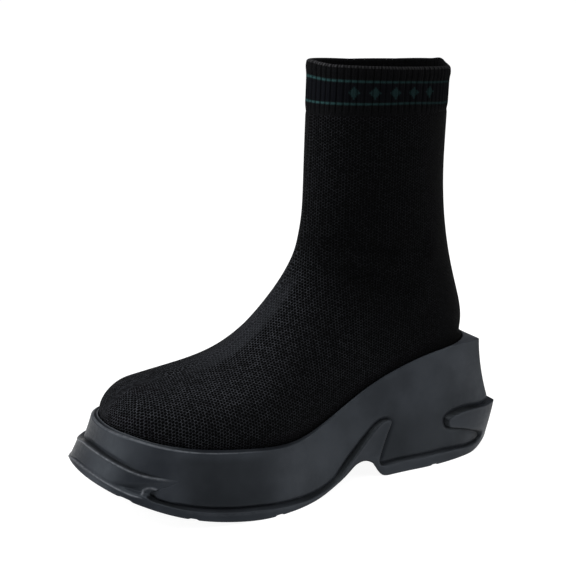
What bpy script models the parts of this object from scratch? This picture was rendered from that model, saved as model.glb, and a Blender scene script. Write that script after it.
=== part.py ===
"""Stretch ankle boot: a knitted sock upper on a moulded platform sole. Left boot, one rigid body.

Frame: +X to the toe, +Y to the outer side, +Z up, the floor at z = 0 and the box centred over the origin.
Sizes are in millimetres and turn into metres when a mesh is made.
"""
import bpy
import bmesh
import numpy as np

MM = 0.001

# Driving sizes
HEEL_X = 12.0          # heel end of the foot outline
TOE_X = 258.0          # toe end of the foot outline
COLLAR_Z = 252.0       # height of the collar
GAP = 0.3              # clearance between neighbouring pieces
KNIT_WALL = 2.4        # wall of the upper
INSOLE_THICK = 3.5
INSOLE_CLEAR = 0.8     # room between the insole's edge and the knit
OUTSOLE_LAYER = 4.0    # rubber under the midsole
HEEL_REACH = 34.0      # length over which the heel end rounds off
HEEL_ROUND = 2.1
TOE_REACH = 62.0       # length over which the toe end rounds off
TOE_ROUND = 2.35
TOE_BOX_REACH = 26.0   # length over which the toe box rises to its full height
TOE_BOX_ROUND = 2.4
ANKLE_EASE = 42.0      # how far the turn from foot to shaft is spread
TUCK_SHARE = 0.42      # share of the sole's height that tucks in under the heel
MEDIAL_FLARE_CUT = 0.35
TOE_SPRING_START = 178.0
TOE_SPRING_END = 279.0
TOE_SPRING = 28.1
TOE_SPRING_POWER = 1.86
HEEL_BEVEL = 22.0      # length of the bevel at the back of the tread
HEEL_BEVEL_LIFT = 8.0
HEEL_CORNER_TURN = 0.33    # turn of the outline where the sole's flat back ends in a corner
HEEL_SIDE_TURN = 0.94      # turn where the curve from that corner has run into the side
HEEL_CORNER_Y = 27.4       # half width of the flat back at the end of the foot outline
HEEL_CORNER_SPREAD = 0.17  # growth of that half width as the back stands out further
HEEL_BULGE = 0.2           # how far the flat back bulges in its middle
HEEL_CURVE_BEND = 0.36     # where the curve bends, as a share from the corner to the side
HEEL_CURVE_EASE = 0.5      # how much the curve still widens after its bend


def spline(places, values):
    """Natural cubic spline through the values, held level beyond its ends."""
    places = np.asarray(places, float)
    values = np.asarray(values, float)
    count = len(places)
    step = np.diff(places)
    system = np.eye(count)
    right = np.zeros(count)
    for i in range(1, count - 1):
        system[i, i - 1:i + 2] = step[i - 1], 2 * (step[i - 1] + step[i]), step[i]
        right[i] = 6 * ((values[i + 1] - values[i]) / step[i] - (values[i] - values[i - 1]) / step[i - 1])
    bend = np.linalg.solve(system, right)

    def at(x):
        x = np.clip(np.asarray(x, float), places[0], places[-1])
        i = np.clip(np.searchsorted(places, x, side="right") - 1, 0, count - 2)
        before = x - places[i]
        after = places[i + 1] - x
        curve = (bend[i] * after**3 + bend[i + 1] * before**3) / (6 * step[i])
        return (curve + (values[i] / step[i] - bend[i] * step[i] / 6) * after
                + (values[i + 1] / step[i] - bend[i + 1] * step[i] / 6) * before)
    return at


def table(names, rows):
    """A spline for each named column against the first column."""
    grid = np.array(rows, float)
    return {name: spline(grid[:, 0], grid[:, i + 1]) for i, name in enumerate(names)}


# Half widths of the foot outline, where the upper meets the sole
FOOT = table(["lateral", "medial"], [
    # x, lateral, medial
    (12, 31.0, 31.0),
    (50, 32.0, 31.0),
    (95, 33.4, 30.5),
    (140, 40.0, 36.0),
    (180, 49.5, 43.5),
    (205, 48.0, 45.5),
    (232, 45.7, 43.5),
    (258, 42.0, 39.5),
])

# Platform: height where it meets the upper, and depth of the cup inside
RIM = table(["rim", "cup"], [
    # x, rim, cup
    (-5, 75.4, 12.0),
    (15, 75.2, 12.0),
    (40, 73.7, 12.0),
    (70, 67.5, 11.0),
    (100, 56.6, 10.0),
    (125, 44.3, 9.0),
    (150, 36.4, 8.0),
    (180, 38.1, 8.0),
    (210, 41.8, 8.0),
    (228, 44.9, 8.0),
    (240, 47.6, 8.0),
    (250, 50.4, 8.0),
    (262, 52.8, 8.0),
    (275, 54.4, 8.0),
])

# Sole side: rim width, flare from rim to tread, fall of the rim outwards, how far the rubber
# stands proud of the foam, how far the side tucks in again at the tread, and how late it flares
SIDE = table(["lateral", "medial", "flare", "drop", "proud", "tuck", "power"], [
    # x on the foot outline, lateral, medial, flare, drop, proud, tuck, power
    (12, 2.2, 2.2, 23.3, 1.0, 5.9, 16.5, 1.65),
    (40, 1.7, 1.7, 13.7, 0.5, 2.3, 2.2, 1.15),
    (62, 1.5, 1.5, 11.9, 0.4, 2.0, 0.6, 1.05),
    (95, 1.5, 1.5, 10.5, 0.4, 2.0, 0.0, 1.0),
    (150, 3.0, 2.8, 12.6, 0.6, 2.2, 0.0, 1.0),
    (205, 4.4, 4.0, 12.0, 0.8, 2.2, 0.0, 1.0),
    (240, 5.2, 4.4, 13.8, 0.9, 2.6, 0.0, 1.1),
    (258, 4.8, 4.8, 14.0, 1.2, 3.0, 0.0, 1.1),
])

# Notch of the arch above the tread line
ARCH = table(["rise"], [
    # x, rise
    (88, 0.0),
    (91, 0.5),
    (93.5, 1.8),
    (95.3, 3.8),
    (96.8, 6.0),
    (98.2, 8.7),
    (100.4, 10.8),
    (103.2, 12.1),
    (106.3, 12.6),
    (109.6, 12.4),
    (112.8, 11.5),
    (116.1, 9.8),
    (122, 6.8),
    (130, 4.0),
    (137, 2.2),
    (144, 1.0),
    (152, 0.3),
    (160, 0.0),
])
ARCH_START = 88.0
ARCH_END = 160.0

# Back seam of the upper
BACK = table(["x"], [
    # z, x
    (60, 11.0),
    (74, 9.9),
    (80, 9.6),
    (87, 10.4),
    (98, 13.6),
    (112, 18.4),
    (126, 22.4),
    (142, 26.0),
    (163, 28.9),
    (192, 30.1),
    (222, 29.3),
    (252, 28.4),
])

# Sections of the upper. "Along" runs from the toe along the foot outline to the heel end and then
# up the back seam. Each section stands on that place and reaches its top point on the crest.
SOLE_RUN = TOE_X - HEEL_X
BACK_RUN = 183.0
BACK_EASE = 8.0         # climb over which the back seam leaves the heel end
SECTIONS = table(["top_x", "top_z", "lateral", "medial", "belly", "crest", "shoulder"], [
    # along, top_x, top_z, lateral, medial, belly, crest, shoulder
    (0, 258.0, 66.0, 42.5, 39.5, 0.20, 0.0, 2.20),
    (18, 240.0, 70.6, 46.5, 43.5, 0.22, -1.0, 2.20),
    (30, 228.0, 71.7, 47.3, 44.5, 0.23, -2.0, 2.15),
    (58, 202.5, 75.2, 49.5, 46.3, 0.25, -3.0, 2.05),
    (90, 177.0, 83.6, 50.5, 43.0, 0.27, -3.5, 1.95),
    (123, 156.4, 100.0, 42.5, 37.5, 0.30, -3.0, 1.88),
    (163, 138.6, 122.2, 35.5, 33.0, 0.35, -2.0, 1.85),
    (206, 129.4, 139.4, 34.5, 33.0, 0.42, -1.0, 1.88),
    (238, 126.6, 151.0, 34.5, 33.5, 0.46, -0.5, 1.92),
    (262, 124.9, 162.5, 34.5, 34.0, 0.48, 0.0, 1.96),
    (290, 123.6, 176.5, 34.5, 34.2, 0.49, 0.0, 2.0),
    (320, 122.6, 193.5, 34.7, 34.6, 0.50, 0.0, 2.0),
    (350, 121.8, 211.0, 35.0, 35.0, 0.50, 0.0, 2.0),
    (380, 121.0, 228.0, 35.6, 35.6, 0.50, 0.0, 2.0),
    (429, 119.6, 252.0, 36.2, 36.2, 0.50, 0.0, 2.0),
])

# Upper edge of the rubber in side view, from the back of the heel to the toe
RUBBER_EDGE = [
    # x, z
    (-30, 32.4), (-8, 32.4), (8, 32.4), (18, 32.3), (30, 31.4), (39, 29.9),    # top of the heel claw
    (42, 28.1), (41.5, 23.6), (36.1, 21.2), (27.3, 18.9), (17.7, 15.6), (12, 12.2),  # its tip
    (10.4, 9.3), (12, 6.9),                                                    # its slot
    (21.1, 6.1), (32, 6.6), (49, 7.2), (65, 7.2), (80, 7.2), (91, 6.9),        # lip of the heel
    (94.2, 9.6), (89.3, 20), (86.6, 25.8), (83, 33.6), (85.8, 36.6),           # back and top of the fin
    (89.1, 35.7), (94.6, 32.7), (100.9, 26.9), (109.2, 20.2), (117.5, 15.2),   # front of the fin
    (126.3, 10), (135, 7), (143.5, 5.5), (151.5, 4.8), (159.5, 4.7),           # lip of the waist
    (174, 5.4), (187, 6.8), (199, 8), (211, 9.9), (222.5, 12.2), (233, 15),    # lip of the forefoot
    (241, 17.2), (246, 18.7),
    (250, 20.6), (249.2, 22.6), (245.5, 23.9), (238.5, 28.0), (246.3, 31.2),   # slot and hook of the toe
    (255.2, 34.4), (263.3, 38.2), (269.1, 41), (272, 42), (300, 56.0),         # top of the toe bumper
]
RUBBER_BELOW = -10.0

# Grooves between the main lugs
LUG_GROOVES = [
    # x, width, depth, half length, slant in degrees
    (34, 4.0, 2.0, 34.0, 0.0),
    (54, 4.0, 2.0, 60.0, 0.0),
    (74, 4.0, 2.0, 34.0, 0.0),
    (168, 4.5, 2.2, 80.0, 6.0),
    (187, 4.0, 2.2, 44.0, 4.0),
    (206, 4.0, 2.2, 44.0, 2.0),
    (226, 4.5, 2.2, 80.0, 0.0),
    (244, 4.0, 2.2, 34.0, -2.0),
    (261, 4.5, 2.2, 80.0, -4.0),
]

# Mesh resolution
SIDE_COLUMNS = 42      # columns of the sole along one side
WALL_LEVELS = 6        # rows of quads up the sole's side
FOOT_SECTIONS = 26     # sections of the upper from toe to heel
BACK_SECTIONS = 15     # sections of the upper up the back seam
SECTION_STEPS = 34     # quads round one section

# Finishes: colour, roughness
KNIT_COLOUR = (0.020, 0.020, 0.023)
FOAM_COLOUR = (0.046, 0.050, 0.060)
RUBBER_COLOUR = (0.038, 0.042, 0.051)
LINING_COLOUR = (0.014, 0.014, 0.015)


def cap(distance, reach, power):
    """0 at an end, 1 from its reach inwards: the rounding of a toe or heel."""
    k = np.clip(1 - np.asarray(distance, float) / reach, 0, 1)
    return (1 - k**power)**(1 / power)


def foot_outline(turn):
    """Foot outline in plan: turn 0 at the heel, pi at the toe, outer side first."""
    x = HEEL_X + (TOE_X - HEEL_X) * (1 - np.cos(turn)) / 2
    rounding = cap(x - HEEL_X, HEEL_REACH, HEEL_ROUND) * cap(TOE_X - x, TOE_REACH, TOE_ROUND)
    half = np.where(np.sin(turn) >= 0, FOOT["lateral"](x), -FOOT["medial"](x))
    return np.stack([x, half * rounding], -1)


def outline_normal(turn):
    """Outward normal of the foot outline in plan."""
    step = foot_outline(turn + 1e-3) - foot_outline(turn - 1e-3)
    normal = np.stack([-step[..., 1], step[..., 0]], -1)
    return normal / np.linalg.norm(normal, axis=-1, keepdims=True)


def outline_turns():
    """Turns of the sole's columns: even steps, the heel's corner, more at the arch, both sides alike."""
    even = np.linspace(0, np.pi, SIDE_COLUMNS + 1)
    arch_x = np.array([88, 91, 94, 96.2, 99, 102, 106.5, 110, 114, 119, 124])
    arch = np.arccos(1 - 2 * (arch_x - HEEL_X) / (TOE_X - HEEL_X))
    fixed = np.append(arch, HEEL_CORNER_TURN)
    clear = [t for t in even if np.min(np.abs(fixed - t)) > 0.02]
    outer = np.sort(np.concatenate([clear, fixed]))
    return np.concatenate([outer, 2 * np.pi - outer[-2:0:-1]])


def tread_line(x):
    """Height of the tread without the arch: flat under heel and ball, lifted at both ends."""
    toe = np.clip((x - TOE_SPRING_START) / (TOE_SPRING_END - TOE_SPRING_START), 0, None)
    heel = np.clip((HEEL_BEVEL - x) / HEEL_BEVEL, 0, None)
    return TOE_SPRING * toe**TOE_SPRING_POWER + HEEL_BEVEL_LIFT * heel**1.6


def side_plan(turn, share, proud, grow):
    """Sole's side in plan as an offset of the foot outline."""
    foot = foot_outline(turn)
    x = foot[..., 0]
    outer = (1 + np.sin(turn)) / 2
    rim = outer * SIDE["lateral"](x) + (1 - outer) * SIDE["medial"](x)
    inner_cut = MEDIAL_FLARE_CUT * np.clip(-np.sin(turn), 0, 1) * cap(TOE_X - x, TOE_REACH, 2)
    flare = (SIDE["flare"](x) - SIDE["proud"](x)) * (1 - inner_cut)
    tuck = SIDE["tuck"](x) * np.clip(1 - share / TUCK_SHARE, 0, 1)**1.3
    flare = flare * np.clip(1 - share, 0, None)**SIDE["power"](x)
    reach = rim + flare - tuck + proud * SIDE["proud"](x) + grow
    return foot + outline_normal(turn) * reach[..., None]


def heel_plan(turn, share, proud, grow):
    """Sole's heel in plan: a flat back, a corner, and a curve from there into the side."""
    outer = turn <= np.pi
    half = np.where(outer, turn, 2 * np.pi - turn)
    sign = np.where(outer, 1.0, -1.0)
    end = side_plan(np.where(outer, HEEL_SIDE_TURN, 2 * np.pi - HEEL_SIDE_TURN), share, proud, grow)
    corner_x = side_plan(np.zeros_like(half), share, proud, grow)[..., 0]
    corner_y = HEEL_CORNER_Y + HEEL_CORNER_SPREAD * (HEEL_X - corner_x)
    bend_x = corner_x + HEEL_CURVE_BEND * (end[..., 0] - corner_x)
    end_y = np.abs(end[..., 1])
    back = np.clip(half / HEEL_CORNER_TURN, 0, 1)
    k = np.clip((half - HEEL_CORNER_TURN) / (HEEL_SIDE_TURN - HEEL_CORNER_TURN), 0, 1)
    x = (1 - k)**2 * corner_x + 2 * k * (1 - k) * bend_x + k**2 * end[..., 0] - HEEL_BULGE * (1 - back**2)
    y = (1 - k)**2 * corner_y * back + 2 * k * (1 - k) * (end_y - HEEL_CURVE_EASE) + k**2 * end_y
    return np.stack([x, sign * y], -1)


def sole_side(turn, share, proud, grow=0.0):
    """Point of the sole's side. Share is 0 at the tread and 1 at the rim, proud 1 on the rubber."""
    at_heel = np.minimum(turn, 2 * np.pi - turn) < HEEL_SIDE_TURN
    at_back = heel_plan(turn, share, proud, grow)
    plan = np.where(at_heel[..., None], at_back, side_plan(turn, share, proud, grow))
    low = tread_line(plan[..., 0])
    high = RIM["rim"](plan[..., 0]) - SIDE["drop"](foot_outline(turn)[..., 0])
    return np.concatenate([plan, (low + share * (high - low))[..., None]], -1)


def cup_floor(x):
    """Height of the floor of the cup that takes the upper and the insole."""
    return RIM["rim"](x) - RIM["cup"](x)


def base_path(along):
    """Foot of a section in side view: along the rim from toe to heel, then up the back seam."""
    on_foot = along <= SOLE_RUN
    climb = np.clip(along - SOLE_RUN, 0, BACK_RUN)
    heel_z = RIM["rim"](HEEL_X)
    x = np.where(on_foot, TOE_X - along, HEEL_X)
    z = np.where(on_foot, RIM["rim"](x), heel_z + climb / BACK_RUN * (COLLAR_Z - heel_z))
    blend = np.clip(1 - climb / BACK_EASE, 0, 1)**2
    return np.where(on_foot, x, BACK["x"](z) + (HEEL_X - BACK["x"](heel_z)) * blend), z


def eased_path(along):
    """The same path with its corner at the heel spread out, for a section's points above its foot."""
    window = np.minimum(ANKLE_EASE, np.minimum(along, SOLE_RUN + BACK_RUN - along))
    steps = np.linspace(-0.9, 0.9, 9)
    weights = (1 - steps**2) / np.sum(1 - steps**2)
    pairs = [base_path(along + step * window) for step in steps]
    return tuple(sum(weight * pair[i] for weight, pair in zip(weights, pairs)) for i in (0, 1))


def upper_point(along, turn):
    """Outside of the upper. Turn is 0 at a section's outer foot, 0.5 on the crest, 1 at its inner foot."""
    along, turn = np.broadcast_arrays(np.asarray(along, float), np.asarray(turn, float))
    on_foot = along <= SOLE_RUN
    base_x, base_z = base_path(along)
    eased_x, eased_z = eased_path(along)

    toe_round = cap(along, TOE_REACH, TOE_ROUND)
    rise = cap(along, TOE_BOX_REACH, TOE_BOX_ROUND)
    top_x = SECTIONS["top_x"](along)
    top_z = base_z + (SECTIONS["top_z"](along) - base_z) * rise

    outer = turn <= 0.5
    half = np.where(outer, SECTIONS["lateral"](along), SECTIONS["medial"](along)) * toe_round
    foot = np.where(outer, FOOT["lateral"](base_x), FOOT["medial"](base_x)) * toe_round
    foot = foot * np.where(on_foot, cap(base_x - HEEL_X, HEEL_REACH, HEEL_ROUND), 0)
    foot = np.minimum(foot, half)

    from_crest = np.abs(turn - 0.5) * 2
    ease = np.clip((along - 110) / (SOLE_RUN - 110), 0, 1)
    shoulder_share = 0.78 - 0.28 * ease * ease * (3 - 2 * ease)
    belly = SECTIONS["belly"](along)
    power = 2 / SECTIONS["shoulder"](along)
    over = np.clip(from_crest / shoulder_share, 0, 1) * np.pi / 2
    under = np.clip((from_crest - shoulder_share) / (1 - shoulder_share), 0, 1)
    full = np.sqrt(np.clip(1 - (foot / np.maximum(half, 1e-9))**2, 1e-12, 1))
    dip = under * np.arcsin(full)
    on_shoulder = from_crest <= shoulder_share
    wide = np.where(on_shoulder, np.sin(over)**power, np.cos(dip)) * half
    high = np.where(on_shoulder, belly + (1 - belly) * np.cos(over)**power, belly * (1 - np.sin(dip) / full))
    lean = SECTIONS["crest"](along) * np.clip(high, 0, 1)**2 * toe_round
    y = np.where(outer, wide, -wide) + lean
    settle = np.clip(1 - high / 0.9, 0, 1)
    foot_x = eased_x + (base_x - eased_x) * settle
    foot_z = eased_z + (base_z - eased_z) * settle
    return np.stack([foot_x + (top_x - foot_x) * high, y, foot_z + (top_z - foot_z) * high], -1)


def rounded(points, steps=4):
    """Centripetal curve through the points, so that an outline needs only a few of them."""
    points = np.asarray(points, float)
    ends = np.concatenate([[2 * points[0] - points[1]], points, [2 * points[-1] - points[-2]]])
    curve = []
    for before, start, stop, after in zip(ends, ends[1:], ends[2:], ends[3:]):
        k = np.cumsum([0] + [max(np.linalg.norm(b - a), 1e-9)**0.5
                             for a, b in ((before, start), (start, stop), (stop, after))])
        for t in np.linspace(k[1], k[2], steps, endpoint=False):
            a = [(p * (k[i + 1] - t) + q * (t - k[i])) / (k[i + 1] - k[i])
                 for i, (p, q) in enumerate(((before, start), (start, stop), (stop, after)))]
            b = [(a[i] * (k[i + 2] - t) + a[i + 1] * (t - k[i])) / (k[i + 2] - k[i]) for i in range(2)]
            curve.append((b[0] * (k[2] - t) + b[1] * (t - k[1])) / (k[2] - k[1]))
    return np.array(curve + [points[-1]])


def make_object(name, points, faces, parent):
    """A mesh object with outward faces, from points in millimetres."""
    mesh = bpy.data.meshes.new(name)
    mesh.from_pydata([tuple(p) for p in np.asarray(points, float) * MM], [], faces)
    work = bmesh.new()
    work.from_mesh(mesh)
    bmesh.ops.recalc_face_normals(work, faces=work.faces)
    work.to_mesh(mesh)
    work.free()
    body = bpy.data.objects.new(name, mesh)
    body.parent = parent
    bpy.context.scene.collection.objects.link(body)
    return body


def finish(body, colour, roughness):
    """Give a sub-part its own material."""
    material = bpy.data.materials.new(body.name)
    material.use_nodes = True
    shader = material.node_tree.nodes["Principled BSDF"]
    shader.inputs["Base Color"].default_value = (*colour, 1.0)
    shader.inputs["Roughness"].default_value = roughness
    shader.inputs["Metallic"].default_value = 0.0
    body.data.materials.clear()
    body.data.materials.append(material)


def combine(body, tool, operation):
    """Bake one exact Boolean into the body and remove the tool."""
    step = body.modifiers.new(operation, "BOOLEAN")
    step.operation = operation
    step.solver = "EXACT"
    step.object = tool
    view = bpy.context.evaluated_depsgraph_get()
    result = bpy.data.meshes.new_from_object(body.evaluated_get(view))
    body.modifiers.clear()
    body.data = result
    bpy.data.objects.remove(tool)


def ring_quads(first, second):
    """Quads between two closed rings of vertex numbers."""
    count = len(first)
    return [(first[i], first[(i + 1) % count], second[(i + 1) % count], second[i]) for i in range(count)]


def across(ring):
    """Faces across a ring whose second half mirrors the first: a strip from one end to the other."""
    count = len(ring)
    half = count // 2
    faces = [(ring[0], ring[1], ring[-1]), (ring[half], ring[half + 1], ring[half - 1])]
    for i in range(1, half - 1):
        faces.append((ring[i], ring[i + 1], ring[-i - 1], ring[-i]))
    return faces


def stacked_rings(rings):
    """Closed body from rings of equal length, first to last, closed across both ends."""
    count = len(rings[0])
    numbers = [list(range(i * count, (i + 1) * count)) for i in range(len(rings))]
    faces = across(numbers[0]) + across(numbers[-1])
    for low, high in zip(numbers, numbers[1:]):
        faces += ring_quads(low, high)
    return np.concatenate(rings), faces


def side_rings(turns, proud, grow, lift):
    """Rings up the sole's side, from the tread with its arch, raised by lift, to the rim."""
    ends = sole_side(turns, np.zeros_like(turns), proud, grow)
    tops = sole_side(turns, np.ones_like(turns), proud, grow)
    in_arch = (ends[:, 0] > ARCH_START) & (ends[:, 0] < ARCH_END)
    rise = np.where(in_arch, ARCH["rise"](ends[:, 0]), 0) + lift
    lowest = rise / (tops[:, 2] - ends[:, 2])
    levels = np.linspace(0, 1, WALL_LEVELS + 1)
    return [sole_side(turns, lowest + (1 - lowest) * k, proud, grow) for k in levels]


def make_midsole(parent):
    """Foam platform: outer side, rim, and the cup that takes upper and insole."""
    turns = outline_turns()
    foot = foot_outline(turns)
    cup = foot + outline_normal(turns) * GAP
    rim = np.column_stack([cup, RIM["rim"](foot[:, 0])])
    floor = np.column_stack([cup, cup_floor(foot[:, 0])])
    rings = side_rings(turns, 0.0, 0.0, OUTSOLE_LAYER) + [rim, floor]
    return make_object("midsole", *stacked_rings(rings), parent)


def make_prism(outline, parent):
    """Side-view outline carried right through the boot from side to side."""
    count = len(outline)
    sides = [np.column_stack([outline[:, 0], np.full(count, y), outline[:, 1]]) for y in (-120.0, 120.0)]
    near = list(range(count))
    far = list(range(count, 2 * count))
    return make_object("side cut", np.concatenate(sides), [near, far[::-1]] + ring_quads(near, far), parent)


def make_grooves(parent):
    """All grooves between the main lugs as one tool."""
    points = []
    faces = []
    for x, width, depth, half, slant in LUG_GROOVES:
        lean = np.tan(np.radians(slant)) * half
        top = tread_line(np.float64(x)) + depth
        start = len(points)
        for z in (top - 20, top):
            for side, shift in ((-half, -lean), (half, lean)):
                points += [(x + shift - width / 2, side, z), (x + shift + width / 2, side, z)]
        box = ((0, 1, 3, 2), (4, 6, 7, 5), (0, 4, 5, 1), (1, 5, 7, 3), (3, 7, 6, 2), (2, 6, 4, 0))
        faces += [tuple(start + i for i in face) for face in box]
    return make_object("lug grooves", points, faces, parent)


def make_outsole(parent):
    """Rubber unit, cut from two forms of the side: lugs, lip, toe bumper, arch fin and heel claw."""
    turns = outline_turns()
    outsole = make_object("outsole", *stacked_rings(side_rings(turns, 1.0, 0.0, 0.0)), parent)
    inner_rings = side_rings(turns, 0.0, GAP, OUTSOLE_LAYER - GAP)
    inner = make_object("foam form", *stacked_rings(inner_rings), parent)
    combine(outsole, inner, "DIFFERENCE")
    edge = rounded(RUBBER_EDGE)
    below = [(edge[-1, 0], RUBBER_BELOW), (edge[0, 0], RUBBER_BELOW)]
    combine(outsole, make_prism(np.concatenate([edge, below]), parent), "INTERSECT")
    combine(outsole, make_grooves(parent), "DIFFERENCE")
    return outsole


def make_insole(parent):
    """Flat pad on the cup's floor, inside the upper."""
    turns = outline_turns()
    foot = foot_outline(turns)
    plan = foot - outline_normal(turns) * (KNIT_WALL + INSOLE_CLEAR)
    floor = cup_floor(foot[:, 0]) + GAP
    rings = [np.column_stack([plan, floor + lift]) for lift in (0.0, INSOLE_THICK)]
    return make_object("insole", *stacked_rings(rings), parent)


def upper_sheet():
    """Outside of the upper as one open sheet: points, faces, and the rings of its collar and lower edge."""
    foot = SOLE_RUN * (1 - np.cos(np.linspace(0, np.pi, FOOT_SECTIONS + 1))) / 2
    back = SOLE_RUN + BACK_RUN * np.linspace(0, 1, BACK_SECTIONS + 1)[1:]
    along = np.concatenate([foot, back])
    turn = np.linspace(0, 1, SECTION_STEPS + 1)
    grid = upper_point(along[:, None], turn[None, :])
    points = []
    number = np.zeros(grid.shape[:2], int)
    for i, place in enumerate(along):
        for j in range(SECTION_STEPS + 1):
            same_toe = i == 0 and j > 0
            same_seam = place >= SOLE_RUN - 1e-6 and j == SECTION_STEPS
            if same_toe or same_seam:
                number[i, j] = number[i, 0]
                continue
            number[i, j] = len(points)
            points.append(grid[i, j])
    faces = []
    for i in range(len(along) - 1):
        for j in range(SECTION_STEPS):
            quad = [number[i, j], number[i + 1, j], number[i + 1, j + 1], number[i, j + 1]]
            faces.append(list(dict.fromkeys(int(k) for k in quad)))
    collar = [int(k) for k in number[-1, :-1]]
    foot_ring = [int(k) for k in number[:FOOT_SECTIONS + 1, 0]]
    foot_ring += [int(k) for k in number[FOOT_SECTIONS - 1:0:-1, -1]]
    hem = []
    for k in foot_ring:
        x, y, z = points[k]
        hem.append(len(points))
        points.append(np.array([x, y, cup_floor(x) + GAP]))
    faces += ring_quads(foot_ring, hem)
    return np.array(points), faces, collar, hem


def make_upper(parent):
    """Knitted sock: one hollow body, open at the collar and over the insole."""
    points, faces, collar, hem = upper_sheet()
    sheet = bmesh.new()
    corners = [sheet.verts.new(p) for p in points]
    for face in faces:
        sheet.faces.new([corners[k] for k in face])
    bmesh.ops.recalc_face_normals(sheet, faces=sheet.faces)
    sheet.normal_update()
    normals = np.array([corner.normal for corner in corners])
    sheet.free()
    if normals[collar[0]][0] > 0:
        normals = -normals
    level = collar + hem
    normals[level, 2] = 0
    normals[level] /= np.linalg.norm(normals[level], axis=1, keepdims=True)
    inside = points - normals * KNIT_WALL
    inside[level, 2] = points[level, 2]
    shift = len(points)
    faces = faces + [[k + shift for k in face[::-1]] for face in faces]
    for ring in (collar, hem):
        faces += ring_quads(ring, [k + shift for k in ring])
    return make_object("upper", np.concatenate([points, inside]), faces, parent)


def centre_boot(root):
    """Place the boot so that its box is centred over the origin."""
    corners = np.array([v.co for body in root.children for v in body.data.vertices])
    middle = (corners.min(axis=0) + corners.max(axis=0)) / 2
    root.location = (-middle[0], -middle[1], -corners[:, 2].min())


def main():
    for item in list(bpy.data.objects):
        bpy.data.objects.remove(item)
    root = bpy.data.objects.new("boot", None)
    bpy.context.scene.collection.objects.link(root)
    finish(make_outsole(root), RUBBER_COLOUR, 0.5)
    finish(make_midsole(root), FOAM_COLOUR, 0.55)
    finish(make_insole(root), LINING_COLOUR, 0.9)
    finish(make_upper(root), KNIT_COLOUR, 0.85)
    centre_boot(root)


main()
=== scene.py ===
import bpy
import numpy as np
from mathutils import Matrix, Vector


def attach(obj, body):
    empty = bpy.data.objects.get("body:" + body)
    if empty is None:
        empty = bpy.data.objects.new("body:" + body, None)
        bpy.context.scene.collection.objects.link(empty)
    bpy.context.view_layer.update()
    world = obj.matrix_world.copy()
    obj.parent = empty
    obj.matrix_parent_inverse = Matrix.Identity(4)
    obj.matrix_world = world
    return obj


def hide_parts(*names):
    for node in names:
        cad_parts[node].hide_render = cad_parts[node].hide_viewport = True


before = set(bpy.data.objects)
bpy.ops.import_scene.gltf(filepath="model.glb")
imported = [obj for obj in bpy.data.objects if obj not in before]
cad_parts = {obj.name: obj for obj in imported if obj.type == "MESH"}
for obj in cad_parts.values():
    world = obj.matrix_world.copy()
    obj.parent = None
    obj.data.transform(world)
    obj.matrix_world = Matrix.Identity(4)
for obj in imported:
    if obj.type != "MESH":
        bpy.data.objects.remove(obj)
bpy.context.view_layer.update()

MM = 0.001
CENTRE = np.array([136.85408, 3.42353, 0.0])   # the row frame's origin in these millimetres

# Sizes shared with the solids
HEEL_X = 12.0
TOE_X = 258.0
COLLAR_Z = 252.0
KNIT_WALL = 2.4
INSOLE_THICK = 3.5
INSOLE_CLEAR = 0.8
HEEL_REACH = 34.0
HEEL_ROUND = 2.1
TOE_REACH = 62.0
TOE_ROUND = 2.35
TOE_BOX_REACH = 26.0
TOE_BOX_ROUND = 2.4
ANKLE_EASE = 42.0
TUCK_SHARE = 0.42
TUCK_POWER = 1.3
SHOULDER_START = 110.0  # along the upper, from where the shoulders come down towards the ankle
SHOULDER_SHARE = 0.78
SHOULDER_FALL = 0.28
SETTLE_SHARE = 0.9
MEDIAL_FLARE_CUT = 0.35
TOE_SPRING_START = 178.0
TOE_SPRING_END = 279.0
TOE_SPRING = 28.1
TOE_SPRING_POWER = 1.86
HEEL_BEVEL = 22.0
HEEL_BEVEL_LIFT = 8.0
HEEL_BEVEL_POWER = 1.6
HEEL_CORNER_TURN = 0.33
HEEL_SIDE_TURN = 0.94
HEEL_CORNER_Y = 27.4
HEEL_CORNER_SPREAD = 0.17
HEEL_BULGE = 0.2
HEEL_CURVE_BEND = 0.36
HEEL_CURVE_EASE = 0.5
SOLE_RUN = TOE_X - HEEL_X
BACK_RUN = 183.0
BACK_EASE = 8.0

# Mesh resolution
RUBBER_COLUMNS = 1200
FOAM_COLUMNS = 720
TREAD_STEPS = 44
RUBBER_LOW_LEVELS = (0.0, 0.005, 0.013, 0.024, 0.038, 0.054)
RUBBER_HIGH_LEVELS = (0.07, 0.66, 76)
FOAM_LEVELS = ((0, 0.66, 56), (0.68, 0.90, 12), (0.905, 1, 20))   # from, to, rows
KNIT_COLUMNS = 200
KNIT_ROWS = (26, 140, 70)       # toe, foot, shaft
KNIT_TOE = (0.0, 0.95)          # shares of the toe's rise where its rows start and end
LINING_COLUMNS = 120
LINING_ROWS = (12, 79, 49)
LINING_TOE = (0.12, 0.95)
CUFF_COLUMNS = 768
CUFF_ROWS = 64
HEM_STEPS = 12
INSOLE_COLUMNS = 240
INSOLE_STEPS = 24
CHART_ROWS = 56
CHART_COLUMNS = 51

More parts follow.
